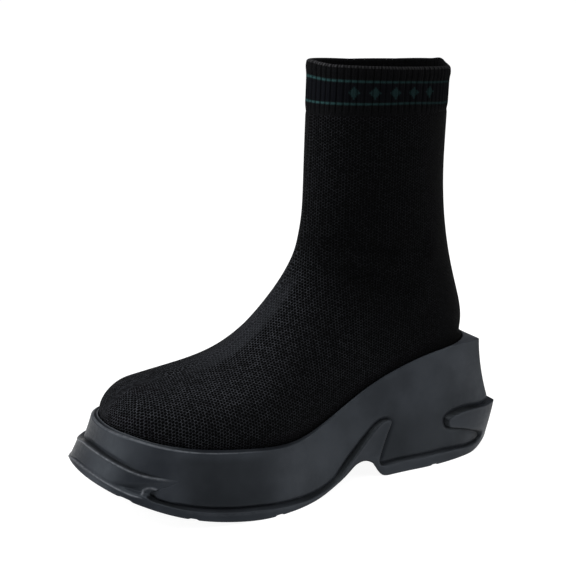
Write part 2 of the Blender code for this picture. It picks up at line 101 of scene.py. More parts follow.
# Moulded detail of the sole
CORNER_TAPS = ((-0.02, 0.25), (0.0, 0.5), (0.02, 0.25))   # turns, weights: the heel's rounded corner
EDGE_ROUND = 0.9        # rounding of the rubber's upper edge
EDGE_SHADE = 0.9        # painted shade along that edge, how dark
BOTTOM_ROUND = 0.7      # rounding where side and tread meet
RIM_ROUND = 0.6         # rounding of the platform's rim
RIM_ROUND_TOE = 1.2
GROOVE_DEPTH = 1.0      # groove in the foam along the rubber
GROOVE_WIDTH = 1.1
GROOVE_GAP = 0.4        # how far the groove's floor runs out from the edge
GROOVE_LINE = 0.25      # width of the painted shade line in the groove
GROOVE_MORE = [
    # mark, more depth, more width, more width of the painted shade line
    ("claw", 0.8, 0.9, 1.0),
    ("fin", 1.0, 0.9, 2.0),
    ("lip", 0.6, 0.2, 0.0),
]
FOAM_LIFT = 1.4         # height of the foam's lower edge over the tread, behind the lip
SKIRT_RISE = 14.0       # how far the foam's hidden lower face lies over that edge
SKIRT_SHIFT = 8.0
SKIRT_SCALE = (0.94, 0.80, 1.0)
RIM_STEPS = 18
CUP_EDGE = ((0.9, 0.1), (0.55, 0.6), (0.4, 1.6))   # the rim's inner edge: distance from the knit, depth
CUP_CLEAR = 0.3
SLOT_STEP = 1.9         # step down from the rubber to the foam in the slot under the claw
RUBBER_SINK = 2.2       # how far the rubber's edge dives under the foam
KNIT_GAP = 0.9          # shadow gap between the rim and the knit

# Knit, cuff and seam
KNIT_WIDE = 3.5         # repeat of the mesh knit along its courses, two columns of holes
KNIT_TALL = 1.82        # repeat of the mesh knit up its wales
KNIT_TOP = 226.5        # height where the mesh ends under the cuff
CUFF_LOW = 221.0        # height where the ribs begin
CUFF_MIDDLE = 236.0     # height where the cuff's girth is taken
RIB_COUNT = 63
RIB_RISE = 0.4
RIB_DEPTH = 0.8
RIB_GROOVE = 0.5
INNER_RIB = 0.3
WALES_PER_RIB = 3
WALE_DEPTH = 0.25
CUFF_SINK = 0.5         # how far the cuff's lower edge lies inside
CUFF_SHADE = 0.75       # painted shade on its side and back
HEM_ROLL = 1.8          # radius of the rolled hem
CUFF_INSIDE = 226.0     # height the hem reaches down inside
STRIPES = ((243.1, 0.6, 0.9), (230.8, 0.6, 2.2))   # height, half width, drop at the back
STRIPE_SOFT = 0.35
STRIPE_GROOVE = 0.4     # painted shade: how much darker the stripes are in the grooves
STITCH = 1.0            # size of one knitted stitch
DIAMOND_RIBS = 3        # ribs from one diamond to the next
DIAMOND_RINGS = 3       # stitches from its middle to its tip
DIAMOND_TEAL = 0.6
DIAMOND_FIRST = 50.0    # the row runs between these places x, on the outer side
DIAMOND_LAST = 110.0
DIAMOND_SIDE = 10.0
HEM_EDGE = 2.0          # length of the pale loops over the hem
COLLAR_TILT = ((28.0, 120.0), (-2.0, 1.6))     # places x, and how much the collar rises there
FAR_TILT = ((28.0, 45.0, 75.0, 120.0), (3.4, 1.7, 0.5, 1.6))   # more of it on the far side
CREASE_BEAD = 0.45      # bulge beside a crease, and its distance in widths
CREASE_BEAD_OUT = 1.9
WAVE_HEIGHT = 0.12
ANKLE_ROUNDS = 60       # how often the bend at the ankle is eased
ANKLE_SEAM_FROM = 12.0  # from here up the back seam is eased too, at this share
ANKLE_SEAM_EASE = 0.6
KNIT_HEM = ((2.0, 0.3), (6.5, 0.6))    # drop and inset of the knit's edge in the cup
KNIT_MIDDLE = (135.0, 0.0, 0.0)
HEM_TONE = 0.5
ANKLE_SHADE = 0.62       # painted shade: how much darker ankle and shaft are
STRIP_TONE = 0.05       # the closer-knitted strip is paler, with smaller holes and fewer specks
STRIP_HOLE = 0.4
STRIP_SPECK = 0.75
CLOSED_TONE = 0.58      # the toe's tip is darker and closed
CLOSED_HOLE = 0.95

# Lining and insole
LINING_LAP = 6.0        # how far the lining reaches up behind the hem
LINING_LAYERS = (("tone_and_painted_shade", 0.5), ("hole", 0.6), ("speck", 1.0))
SEAT_DEPTH = 0.9        # heel seat of the insole
INSOLE_EDGE = [
    # inset, lift
    (1.2, 0.0), (0.3, 0.3), (0.0, 1.4), (0.0, 2.4), (0.4, 3.2), (1.3, INSOLE_THICK),
]


def spline(places, values):
    """Natural cubic spline through the values, held level beyond its ends."""
    places = np.asarray(places, float)
    values = np.asarray(values, float)
    count = len(places)
    step = np.diff(places)
    system = np.eye(count)
    right = np.zeros(count)
    for i in range(1, count - 1):
        system[i, i - 1:i + 2] = step[i - 1], 2 * (step[i - 1] + step[i]), step[i]
        right[i] = 6 * ((values[i + 1] - values[i]) / step[i] - (values[i] - values[i - 1]) / step[i - 1])
    bend = np.linalg.solve(system, right)

    def at(x):
        x = np.clip(np.asarray(x, float), places[0], places[-1])
        i = np.clip(np.searchsorted(places, x, side="right") - 1, 0, count - 2)
        before = x - places[i]
        after = places[i + 1] - x
        curve = (bend[i] * after**3 + bend[i + 1] * before**3) / (6 * step[i])
        return (curve + (values[i] / step[i] - bend[i] * step[i] / 6) * after
                + (values[i + 1] / step[i] - bend[i + 1] * step[i] / 6) * before)
    return at


def table(names, rows):
    """A spline for each named column against the first column."""
    grid = np.array(rows, float)
    return {name: spline(grid[:, 0], grid[:, i + 1]) for i, name in enumerate(names)}


# Half widths of the foot outline, where the upper meets the sole
FOOT = table(["lateral", "medial"], [
    # x, lateral, medial
    (12, 31.0, 31.0),
    (50, 32.0, 31.0),
    (95, 33.4, 30.5),
    (140, 40.0, 36.0),
    (180, 49.5, 43.5),
    (205, 48.0, 45.5),
    (232, 45.7, 43.5),
    (258, 42.0, 39.5),
])

# Platform: height where it meets the upper, and depth of the cup inside
RIM = table(["rim", "cup"], [
    # x, rim, cup
    (-5, 75.4, 12.0),
    (15, 75.2, 12.0),
    (40, 73.7, 12.0),
    (70, 67.5, 11.0),
    (100, 56.6, 10.0),
    (125, 44.3, 9.0),
    (150, 36.4, 8.0),
    (180, 38.1, 8.0),
    (210, 41.8, 8.0),
    (228, 44.9, 8.0),
    (240, 47.6, 8.0),
    (250, 50.4, 8.0),
    (262, 52.8, 8.0),
    (275, 54.4, 8.0),
])

# Sole side: rim width, flare from rim to tread, fall of the rim outwards, how far the rubber
# stands proud of the foam, how far the side tucks in again at the tread, and how late it flares
SIDE = table(["lateral", "medial", "flare", "drop", "proud", "tuck", "power"], [
    # x on the foot outline, lateral, medial, flare, drop, proud, tuck, power
    (12, 2.2, 2.2, 23.3, 1.0, 5.9, 16.5, 1.65),
    (40, 1.7, 1.7, 13.7, 0.5, 2.3, 2.2, 1.15),
    (62, 1.5, 1.5, 11.9, 0.4, 2.0, 0.6, 1.05),
    (95, 1.5, 1.5, 10.5, 0.4, 2.0, 0.0, 1.0),
    (150, 3.0, 2.8, 12.6, 0.6, 2.2, 0.0, 1.0),
    (205, 4.4, 4.0, 12.0, 0.8, 2.2, 0.0, 1.0),
    (240, 5.2, 4.4, 13.8, 0.9, 2.6, 0.0, 1.1),
    (258, 4.8, 4.8, 14.0, 1.2, 3.0, 0.0, 1.1),
])

# Notch of the arch above the tread line
ARCH_START = 88.0
ARCH_END = 160.0
ARCH = table(["rise"], [
    # x, rise
    (88, 0.0),
    (91, 0.5),
    (93.5, 1.8),
    (95.3, 3.8),
    (96.8, 6.0),
    (98.2, 8.7),
    (100.4, 10.8),
    (103.2, 12.1),
    (106.3, 12.6),
    (109.6, 12.4),
    (112.8, 11.5),
    (116.1, 9.8),
    (122, 6.8),
    (130, 4.0),
    (137, 2.2),
    (144, 1.0),
    (152, 0.3),
    (160, 0.0),
])

# Back seam of the upper
BACK = table(["x"], [
    # z, x
    (60, 11.0),
    (74, 9.9),
    (80, 9.6),
    (87, 10.4),
    (98, 13.6),
    (112, 18.4),
    (126, 22.4),
    (142, 26.0),
    (163, 28.9),
    (192, 30.1),
    (222, 29.3),
    (252, 28.4),
])

# Sections of the upper, from the toe along the foot outline and then up the back seam
SECTIONS = table(["top_x", "top_z", "lateral", "medial", "belly", "crest", "shoulder"], [
    # along, top_x, top_z, lateral, medial, belly, crest, shoulder
    (0, 258.0, 66.0, 42.5, 39.5, 0.20, 0.0, 2.20),
    (18, 240.0, 70.6, 46.5, 43.5, 0.22, -1.0, 2.20),
    (30, 228.0, 71.7, 47.3, 44.5, 0.23, -2.0, 2.15),
    (58, 202.5, 75.2, 49.5, 46.3, 0.25, -3.0, 2.05),
    (90, 177.0, 83.6, 50.5, 43.0, 0.27, -3.5, 1.95),
    (123, 156.4, 100.0, 42.5, 37.5, 0.30, -3.0, 1.88),
    (163, 138.6, 122.2, 35.5, 33.0, 0.35, -2.0, 1.85),
    (206, 129.4, 139.4, 34.5, 33.0, 0.42, -1.0, 1.88),
    (238, 126.6, 151.0, 34.5, 33.5, 0.46, -0.5, 1.92),
    (262, 124.9, 162.5, 34.5, 34.0, 0.48, 0.0, 1.96),
    (290, 123.6, 176.5, 34.5, 34.2, 0.49, 0.0, 2.0),
    (320, 122.6, 193.5, 34.7, 34.6, 0.50, 0.0, 2.0),
    (350, 121.8, 211.0, 35.0, 35.0, 0.50, 0.0, 2.0),
    (380, 121.0, 228.0, 35.6, 35.6, 0.50, 0.0, 2.0),
    (429, 119.6, 252.0, 36.2, 36.2, 0.50, 0.0, 2.0),
])

# Top edge of the toe bumper
BUMPER_TOP = [
    # x, z
    (236.7, 28.9), (241.5, 30.0), (246.3, 31.0), (250.8, 32.3), (255.2, 33.9), (259.5, 35.8),
    (263.5, 37.5), (267, 39.1), (269.7, 40.2),
]
BUMPER_LINE = 0.1       # how far its line runs below
TOE_TOP = table(["z"], [(230, 27.6), *[(x, z - BUMPER_LINE) for x, z in BUMPER_TOP], (272, 40.6)])

# Upper edge of the rubber in side view, from the back of the heel to the toe
RUBBER_EDGE = [
    # x, z of the claw's top
    (-8, 28.9), (6, 28.9), (12, 29.2), (18.2, 30.2), (26.6, 30.8), (34.6, 30.0), (39.8, 28.9),
    # its tip, and the slot under it
    (41.8, 27.8), (42.4, 26.4), (42.2, 24.4), (41.2, 22.3), (38.0, 20.9), (30.2, 18.8),
    (20.9, 15.2), (14.4, 12.2), (11.6, 10.4), (11.0, 8.4), (12.4, 6.5),
    # lip of the heel
    (22.5, 5.9), (33, 6.8), (49.5, 7.4), (64.8, 7.4), (79.6, 7.5), (90, 7.2),
    # back and front of the fin
    (93.2, 8.0), (94, 9.8), (92, 14), (89.3, 19.8), (86.6, 25.6), (83.2, 32.4), (83.4, 34.0),
    (85.4, 35.0), (89.8, 34.7), (94.6, 32.2), (101.1, 26.9), (109.5, 19.9), (117.9, 13.8),
    # lip of waist and forefoot
    (127.1, 7.7), (136, 4.9), (144.5, 3.8), (152.8, 3.4), (160.5, 3.8), (174.2, 4.8),
    (186.7, 6.2), (198.8, 7.3), (210.4, 9.1), (221.4, 11.3), (231.7, 14.1),
    # slot of the toe, and the end of the bumper over it
    (238, 16.2), (242, 17.6), (245.4, 19.1), (246.9, 20.6), (246.5, 22.1),
    (245.2, 23.1), (243.4, 23.6), (240, 24.6), (232.5, 27.5),
    # the bumper's top
    *BUMPER_TOP, (271, 40.6),
]
RUBBER_BELOW = -30.0    # its outline is closed below the tread and beyond both ends
RUBBER_BEYOND = 60.0

# Lower ridge round the toe, where the lip of the forefoot runs on
TOE_RIDGE = table(["z"], [
    # x, z
    (236, 14.6),
    (242, 16.9),
    (249.4, 20.0),
    (253.9, 21.4),
    (257.7, 23.0),
    (261.4, 24.7),
    (264.8, 26.4),
    (267.8, 28.0),
    (269.9, 28.8),
    (272, 29.0),
])

# Small raised hook over the end of the toe's slot
TOE_HOOK = [
    # x, z
    (249.6, 21.8), (249.4, 23.0), (248.7, 24.0), (247.3, 24.6), (245.4, 24.5), (243.6, 23.9),
]

# Grooves between the main lugs
LUG_GROOVES = [
    # x, width, depth, half length, slant in degrees
    (34, 4.0, 2.0, 34.0, 0.0),
    (54, 4.0, 2.0, 60.0, 0.0),
    (74, 4.0, 2.0, 34.0, 0.0),
    (168, 4.5, 2.2, 80.0, 6.0),
    (187, 4.0, 2.2, 44.0, 4.0),
    (206, 4.0, 2.2, 44.0, 2.0),
    (226, 4.5, 2.2, 80.0, 0.0),
    (244, 4.0, 2.2, 34.0, -2.0),
    (261, 4.5, 2.2, 80.0, -4.0),
]

ARCH_SLANT = 0.5        # the arch notch runs towards the heel from both sides
ARCH_SLANT_REACH = 26.0
LUG_EDGE = 0.28         # share of their depth that the grooves keep at the tread's edge
SIPE_PITCH = 6.4        # fine grooves on the lugs
SIPE_SLANT = 0.45
SIPE_DEPTH = 0.9
TREAD_SHADE = 0.97      # painted shade on the tread
TOE_DROOP = 3.7         # how much lower the toe's lines run on the inner side
SLOT_END = (245.2, 20.8)    # x and z of the deep end of the toe's slot
SEAM_LOW = (246.0, 24.0)    # x and z of the bumper's seam at the hook and at its top
SEAM_HIGH = (232.5, 27.5)
FIN_EDGE = (94.0, 9.8, -0.46)   # the fin's thin back edge: x at a height, and its slope
FIN_BACK = (95.4, 10.0, -0.51)  # lines between which the fin slopes
FIN_FRONT = (108.9, 19.6, -1.17)
FIN_REACH = (70.0, 130.0)
FIN_LOW = 0.30          # share of its height that the fin keeps along its back

# Marks: a strength, ramps from 0 at their start to 1 at their stop, and bells across lines
TOE_RIM = ("x", 215, 245)
TOE_BAND = ("x", 246, 256)
UP_BACK = ("along", SOLE_RUN + 2, SOLE_RUN + 14)
MARKS = {
    # strength, ramps (field, start, stop), bells (field, place, width)
    "bumper": (1.0, [("past_seam", 2, 26), ("over_top", 0.25, -0.45)]),
    "bumper_bead": (0.3, [("past_seam", 2, 14)], ("over_top", -0.8, 0.5)),
    "in_bumper": (1.0, [("over_ridge", 0.5, 2.5), ("x", 225, 230)]),
    "bumper_end": (1.0, [("over_ridge", 1.0, 3.0), ("x", 225, 230)]),
    "under_bumper": (0.9, [("distance", 0.1, -0.9)]),
    "hook": (0.6, [], ("hook", 0.0, 0.75)),
    "toe_band": (0.6, [TOE_BAND, ("over_ridge", 0.5, -0.5)]),
    "ridge_bead": (0.4, [TOE_BAND], ("over_ridge", -0.4, 0.5)),
    "ridge_groove": (-0.15, [TOE_BAND], ("over_ridge", 0.8, 0.5)),
    "fin_slope": (1.0, [("z", 9, 15)], ("x", 98, 22)),
    "fin": (1.0, [("z", 6, 12), ("x", 84, 92)], ("x", 112, 18)),
    "claw": (1.0, [("x", 50, 36), ("z", 22, 28)]),
    "lip": (1.0, [("x", 140, 165), ("over_ridge", 3.0, 0.5)]),
    "under_claw": (1.0, [("x", 47, 36), ("z", 26, 19)]),
    "slot": (-1.2, [], ("slot", 0.0, 2.6)),
    "toe": (1.0, [TOE_RIM]),
    "toe_tip": (0.6, [("x", 250, 266)]),
    "rim_bead": (0.2, [TOE_RIM], ("across", 0.1, 0.1)),
    "rim_groove": (-0.6, [TOE_RIM], ("across", 0.5, 0.16)),
    # painted highlights along edges, on the rim and on the heel's shelf
    "bumper_painted_highlight": (1.0, [("past_seam", 0, 16)], ("over_top", -0.6, 0.5)),
    "ridge_painted_highlight": (0.9, [("x", 248, 251)], ("over_ridge", -0.2, 0.32)),
    "hook_painted_highlight": (0.9, [], ("hook", 0.0, 0.5)),
    "edge_painted_highlight": (0.1, [("x", 232, 226)], ("distance", -1.4, 0.6)),
    "top_painted_highlight": (0.7, [("x", 165, 222)], ("under_top", 0.2, 0.35)),
    "rim_outer_painted_highlight": (0.9, [TOE_RIM], ("across", 0.0, 0.1)),
    "rim_inner_painted_highlight": (0.8, [TOE_RIM], ("across", 0.88, 0.09)),
    "rim_heel_painted_highlight": (0.35, [("x", 34, 16)]),
    # painted shade: darker lines along the rubber and in grooves, and darker walls
    "rubber_edge": (1.0, [("distance", -0.9, -0.2)]),
    "bumper_shade": (0.9, [("past_seam", 2, 18)], ("over_top", 0.1, 0.5)),
    "over_bumper": (0.9, [("past_seam", 2, 18)], ("above_top", 0.0, 0.7)),
    "arch_edge": (0.85, [("x", 92, 97), ("x", 150, 120), ("over_tread", 1.3, 0.3)]),
    "corner": (0.8, [], ("x", 13, 7), ("z", 9, 5)),
    "fore_wall": (0.5, [("x", 165, 195), ("x", 238, 222), ("under_top", 1, 6)]),
    "low_heel": (0.35, [("x", 18, 34), ("x", 102, 88), ("z", 50, 22)]),
    "slot_shade": (0.8, [], ("slot", 0.0, 2.2)),
    "rim_shade": (0.4, [("x", 245, 215), ("x", 110, 170)]),
    "rim_groove_shade": (0.75, [TOE_RIM], ("across", 0.5, 0.2)),
    # where the painted shade along the rubber is fainter
    "fin_back": (0.7, [("fin_edge", 4, 2), ("fin_edge", -5, -3), ("z", 8, 11), ("z", 38, 34)]),
    "heel_lip": (0.3, [("x", 16, 24), ("x", 96, 88), ("z", 11, 8)]),
    "ledge": (0.9, [("x", 15, 9), ("z", 20, 26)]),
    "fore_lip": (0.4, [("x", 135, 170), ("x", 236, 222)]),
    # knit
    "strip": (1.0, [("along", 40, 80), ("along", 190, 130), ("from_crest", 13.5, 9.5)]),
    "strip_rise": (0.3, [("along", 40, 80), ("along", 176, 130), ("from_crest", 14, 9)]),
    "strip_edge": (0.2, [("along", 40, 80), ("along", 176, 130)], ("from_crest", 11.8, 0.9)),
    "under_cuff": (-0.7, [("z", KNIT_TOP - 5, KNIT_TOP)]),
    "seam_ridges": (0.55, [UP_BACK], ("to_seam", 1.6, 0.9)),
    "seam_groove": (-0.5, [UP_BACK], ("to_seam", 0.0, 0.7)),
    # painted shade on the knit: darker ankle and shaft, just over the rim, on the sides and at the back
    "ankle": (1.0, [("along", 150, 230)]),
    "over_rim": (0.6, [("over_rim", 9, 1), ("x", 215, 150), ("outwards", 4, 20)]),
    "sideways": (0.62, [("sideways", 0.35, 0.95)]),
    "fore_foot": (0.3, [("x", 170, 215)]),
    "behind": (0.65, [("backwards", 0.1, 0.8), ("along", 150, 230)]),
    "closed_toe": (1.0, [("along", 44, 32), ("from_crest", 5, 2.5)]),
    "wavy": (1.0, [("along", 6, 30)]),
    "ankle_bend": (0.5, [("along", 150, 200), ("along", 370, 320)]),
    "off_edge": (1.0, [("turn", 0.0, 0.12)]),
    # cuff and insole
    "grow": (1.0, [("height", CUFF_LOW, CUFF_LOW + 8)]),
    "hem": (0.6, [], ("height", 248.0, 3.2)),
    "tilted": (1.0, [("height", 230, 250)]),
    "far_side": (1.0, [("y", 18, -6)]),
    "cuff_seam_ridges": (0.6, [], ("back", 1.7, 1.0)),
    "cuff_seam_groove": (-0.4, [], ("back", 0.0, 0.7)),
    "seam_lift": (1.1, [], ("back", 0.0, 4.5)),
    "stripe_drop": (1.0, [("x", 78, 32)]),
    "stripe_fade": (0.35, [("x", 115, 50)]),
    # painted shade on the cuff's side and back
    "cuff_side": (1.0, [("sideways", 0.3, 0.9)]),
    "cuff_back": (1.0, [("backwards", 0.1, 0.7)]),
    "heel_seat": (1.0, [], ("x", 46, 30)),
}

# Main creases of the knit as soft troughs in side view
CREASES = [
    # side, start x, start z, end x, end z, depth, width
    (1, 112, 146, 84, 138, 1.3, 5.0),
    (1, 84, 138, 62, 142, 1.1, 6.0),
    (1, 106, 124, 72, 115, 1.4, 6.0),
    (-1, 112, 145, 82, 139, 1.2, 5.0),
    (-1, 102, 125, 70, 117, 1.1, 6.0),
]


def soft_step(low, high, x):
    """0 below low, 1 above high, smooth between."""
    k = np.clip((x - low) / (high - low), 0, 1)
    return k * k * (3 - 2 * k)


def bell(x, width):
    """Smooth bump of height 1."""
    return np.exp(-(x / width)**2)


def mark(name, at):
    """Strength of a named mark at points with these fields: the product of its ramps and bells."""
    strength, ramps, *bells = MARKS[name]
    for field, start, stop in ramps:
        strength = strength * soft_step(start, stop, at[field])
    for field, place, width in bells:
        strength = strength * bell(at[field] - place, width)
    return strength


def edge_round(distance, radius):
    """How far a rounded edge lies back at a distance from the edge."""
    k = np.clip(1 - distance / radius, 0, 1)
    return radius * (1 - np.sqrt(1 - k**2))


def cap(distance, reach, power):
    """0 at an end, 1 from its reach inwards: the rounding of a toe or heel."""
    k = np.clip(1 - np.asarray(distance, float) / reach, 0, 1)
    return (1 - k**power)**(1 / power)


def unit(vectors):
    """Vectors of length 1."""
    return vectors / np.maximum(np.linalg.norm(vectors, axis=-1, keepdims=True), 1e-9)


def foot_outline(turn):
    """Foot outline in plan: turn 0 at the heel, pi at the toe, outer side first."""
    x = HEEL_X + (TOE_X - HEEL_X) * (1 - np.cos(turn)) / 2
    rounding = cap(x - HEEL_X, HEEL_REACH, HEEL_ROUND) * cap(TOE_X - x, TOE_REACH, TOE_ROUND)
    half = np.where(np.sin(turn) >= 0, FOOT["lateral"](x), -FOOT["medial"](x))
    return np.stack([x, half * rounding], -1)


def outline_normal(turn):
    """Outward normal of the foot outline in plan."""
    step = foot_outline(turn + 1e-3) - foot_outline(turn - 1e-3)
    return unit(np.stack([-step[..., 1], step[..., 0]], -1))


def tread_line(x):
    """Height of the tread without the arch: flat under heel and ball, lifted at both ends."""
    toe = np.clip((x - TOE_SPRING_START) / (TOE_SPRING_END - TOE_SPRING_START), 0, None)
    heel = np.clip((HEEL_BEVEL - x) / HEEL_BEVEL, 0, None)
    return TOE_SPRING * toe**TOE_SPRING_POWER + HEEL_BEVEL_LIFT * heel**HEEL_BEVEL_POWER


def side_plan(turn, share, relief):
    """Sole's side in plan as an offset of the foot outline."""
    foot = foot_outline(turn)
    x = foot[..., 0]
    outer = (1 + np.sin(turn)) / 2
    rim = outer * SIDE["lateral"](x) + (1 - outer) * SIDE["medial"](x)
    inner_cut = MEDIAL_FLARE_CUT * np.clip(-np.sin(turn), 0, 1) * cap(TOE_X - x, TOE_REACH, 2)
    flare = (SIDE["flare"](x) - SIDE["proud"](x)) * (1 - inner_cut)
    tuck = SIDE["tuck"](x) * np.clip(1 - share / TUCK_SHARE, 0, 1)**TUCK_POWER
    reach = rim + flare * np.clip(1 - share, 0, None)**SIDE["power"](x) - tuck + relief
    return foot + outline_normal(turn) * reach[..., None]


def heel_plan(turn, share, relief):
    """Sole's heel in plan: a flat back, a rounded corner, and a curve from there into the side."""
    outer = turn <= np.pi
    half = np.where(outer, turn, 2 * np.pi - turn)
    end = side_plan(np.where(outer, HEEL_SIDE_TURN, 2 * np.pi - HEEL_SIDE_TURN), share, relief)
    corner_x = side_plan(np.zeros_like(half), share, relief)[..., 0]
    corner_y = HEEL_CORNER_Y + HEEL_CORNER_SPREAD * (HEEL_X - corner_x)
    bend_x = corner_x + HEEL_CURVE_BEND * (end[..., 0] - corner_x)
    end_y = np.abs(end[..., 1])
    x = 0.0
    y = 0.0
    for shift, weight in CORNER_TAPS:
        inside = soft_step(0.0, 0.1, half) * soft_step(HEEL_SIDE_TURN, HEEL_SIDE_TURN - 0.2, half)
        near = half + shift * inside
        back = np.clip(near / HEEL_CORNER_TURN, 0, 1)
        k = np.clip((near - HEEL_CORNER_TURN) / (HEEL_SIDE_TURN - HEEL_CORNER_TURN), 0, 1)
        curve = np.stack([(1 - k)**2, 2 * k * (1 - k), k**2])
        bulge = HEEL_BULGE * (1 - back**2)
        x = x + weight * (curve[0] * corner_x + curve[1] * bend_x + curve[2] * end[..., 0] - bulge)
        bend_y = end_y - HEEL_CURVE_EASE
        y = y + weight * (curve[0] * corner_y * back + curve[1] * bend_y + curve[2] * end_y)
    return np.stack([x, np.where(outer, y, -y)], -1)


def sole_side(turn, share, relief):
    """Point of the sole's side. Share is 0 at the tread and 1 at the rim, relief is outwards."""
    turn, share, relief = np.broadcast_arrays(turn, share, relief)
    plan = side_plan(turn, share, relief)
    columns = np.minimum(turn, 2 * np.pi - turn) < HEEL_SIDE_TURN
    plan[columns] = heel_plan(turn[columns], share[columns], relief[columns])
    low = tread_line(plan[..., 0])
    high = RIM["rim"](plan[..., 0]) - SIDE["drop"](foot_outline(turn)[..., 0])
    return np.concatenate([plan, (low + share * (high - low))[..., None]], -1)


def cup_floor(x):
    """Height of the floor of the cup that takes the upper and the insole."""
    return RIM["rim"](x) - RIM["cup"](x)


def base_path(along):
    """Foot of a section in side view: along the rim from toe to heel, then up the back seam."""
    on_foot = along <= SOLE_RUN
    climb = np.clip(along - SOLE_RUN, 0, BACK_RUN)
    heel_z = RIM["rim"](HEEL_X)
    x = np.where(on_foot, TOE_X - along, HEEL_X)
    z = np.where(on_foot, RIM["rim"](x), heel_z + climb / BACK_RUN * (COLLAR_Z - heel_z))
    blend = np.clip(1 - climb / BACK_EASE, 0, 1)**2
    return np.where(on_foot, x, BACK["x"](z) + (HEEL_X - BACK["x"](heel_z)) * blend), z


def eased_path(along):
    """The same path with its corner at the heel spread out, for a section's points above its foot."""
    window = np.minimum(ANKLE_EASE, np.minimum(along, SOLE_RUN + BACK_RUN - along))
    steps = np.linspace(-0.9, 0.9, 9)
    weights = (1 - steps**2) / np.sum(1 - steps**2)
    pairs = [base_path(along + step * window) for step in steps]
    return tuple(sum(weight * pair[i] for weight, pair in zip(weights, pairs)) for i in (0, 1))


def upper_point(along, turn):
    """Outside of the upper. Turn is 0 at a section's outer foot, 0.5 on the crest, 1 at its inner foot."""
    along, turn = np.broadcast_arrays(np.asarray(along, float), np.asarray(turn, float))
    on_foot = along <= SOLE_RUN
    base_x, base_z = base_path(along)
    eased_x, eased_z = eased_path(along)

    toe_round = cap(along, TOE_REACH, TOE_ROUND)
    rise = cap(along, TOE_BOX_REACH, TOE_BOX_ROUND)
    top_x = SECTIONS["top_x"](along)
    top_z = base_z + (SECTIONS["top_z"](along) - base_z) * rise

    outer = turn <= 0.5
    half = np.where(outer, SECTIONS["lateral"](along), SECTIONS["medial"](along)) * toe_round
    foot = np.where(outer, FOOT["lateral"](base_x), FOOT["medial"](base_x)) * toe_round
    foot = foot * np.where(on_foot, cap(base_x - HEEL_X, HEEL_REACH, HEEL_ROUND), 0)
    foot = np.minimum(foot, half)

    from_crest = np.abs(turn - 0.5) * 2
    shoulder_share = SHOULDER_SHARE - SHOULDER_FALL * soft_step(SHOULDER_START, SOLE_RUN, along)
    belly = SECTIONS["belly"](along)
    power = 2 / SECTIONS["shoulder"](along)
    over = np.clip(from_crest / shoulder_share, 0, 1) * np.pi / 2
    under = np.clip((from_crest - shoulder_share) / (1 - shoulder_share), 0, 1)
    full = np.sqrt(np.clip(1 - (foot / np.maximum(half, 1e-9))**2, 1e-12, 1))
    dip = under * np.arcsin(full)
    on_shoulder = from_crest <= shoulder_share
    wide = np.where(on_shoulder, np.sin(over)**power, np.cos(dip)) * half
    high = np.where(on_shoulder, belly + (1 - belly) * np.cos(over)**power, belly * (1 - np.sin(dip) / full))
    lean = SECTIONS["crest"](along) * np.clip(high, 0, 1)**2 * toe_round
    y = np.where(outer, wide, -wide) + lean
    settle = np.clip(1 - high / SETTLE_SHARE, 0, 1)
    foot_x = eased_x + (base_x - eased_x) * settle
    foot_z = eased_z + (base_z - eased_z) * settle
    return np.stack([foot_x + (top_x - foot_x) * high, y, foot_z + (top_z - foot_z) * high], -1)


def rounded(points, steps=8):
    """Centripetal curve through the points, so that an outline needs only a few of them."""
    points = np.asarray(points, float)
    ends = np.concatenate([[2 * points[0] - points[1]], points, [2 * points[-1] - points[-2]]])
    curve = []
    for four in zip(ends, ends[1:], ends[2:], ends[3:]):
        gaps = np.linalg.norm(np.diff(four, axis=0), axis=1)
        knots = np.cumsum([0, *np.maximum(gaps, 1e-9)**0.5])
        t = np.linspace(knots[1], knots[2], steps, endpoint=False)[:, None]
        blends = four
        for pairs in (((0, 1), (1, 2), (2, 3)), ((0, 2), (1, 3)), ((1, 2),)):
            blends = [(p * (knots[b] - t) + q * (t - knots[a])) / (knots[b] - knots[a])
                      for (a, b), p, q in zip(pairs, blends, blends[1:])]
        curve.append(blends[0])
    return np.concatenate([*curve, points[-1:]])


def grid_faces(numbers, closed=False):
    """Quads of a grid of vertex numbers. Closed joins the last column to the first."""
    if closed:
        numbers = np.concatenate([numbers, numbers[:, :1]], axis=1)
    quads = [numbers[:-1, :-1], numbers[:-1, 1:], numbers[1:, 1:], numbers[1:, :-1]]
    return np.stack(quads, -1).reshape(-1, 4)


def grid_numbers(grid):
    """Vertex numbers of a grid of points, row by row."""
    return np.arange(grid[..., 0].size).reshape(grid.shape[:2])


def sheet_faces(ring, rows, start, flip):
    """Faces of a sheet between the two halves of a ring, with its points inside numbered from start."""
    half = len(ring) // 2
    inner = start + np.arange((rows - 1) * (half - 1)).reshape(rows - 1, half - 1)
    numbers = np.concatenate([ring[None, 1:half], inner, ring[None, :half:-1]])
    heel = [(ring[0], a, b) for a, b in zip(numbers[:-1, 0], numbers[1:, 0])]
    toe = [(ring[half], b, a) for a, b in zip(numbers[:-1, -1], numbers[1:, -1])]
    faces = [grid_faces(numbers), np.array(heel + toe)]
    return [group[:, ::-1] for group in faces] if flip else faces


def outward_normals(grid):
    """Normals of a grid of the upper's points, away from its inside."""
    normals = unit(np.cross(np.gradient(grid, axis=0), np.gradient(grid, axis=1)))
    crest = normals[grid.shape[0] // 2, grid.shape[1] // 2]
    return normals if crest[2] > 0 else -normals


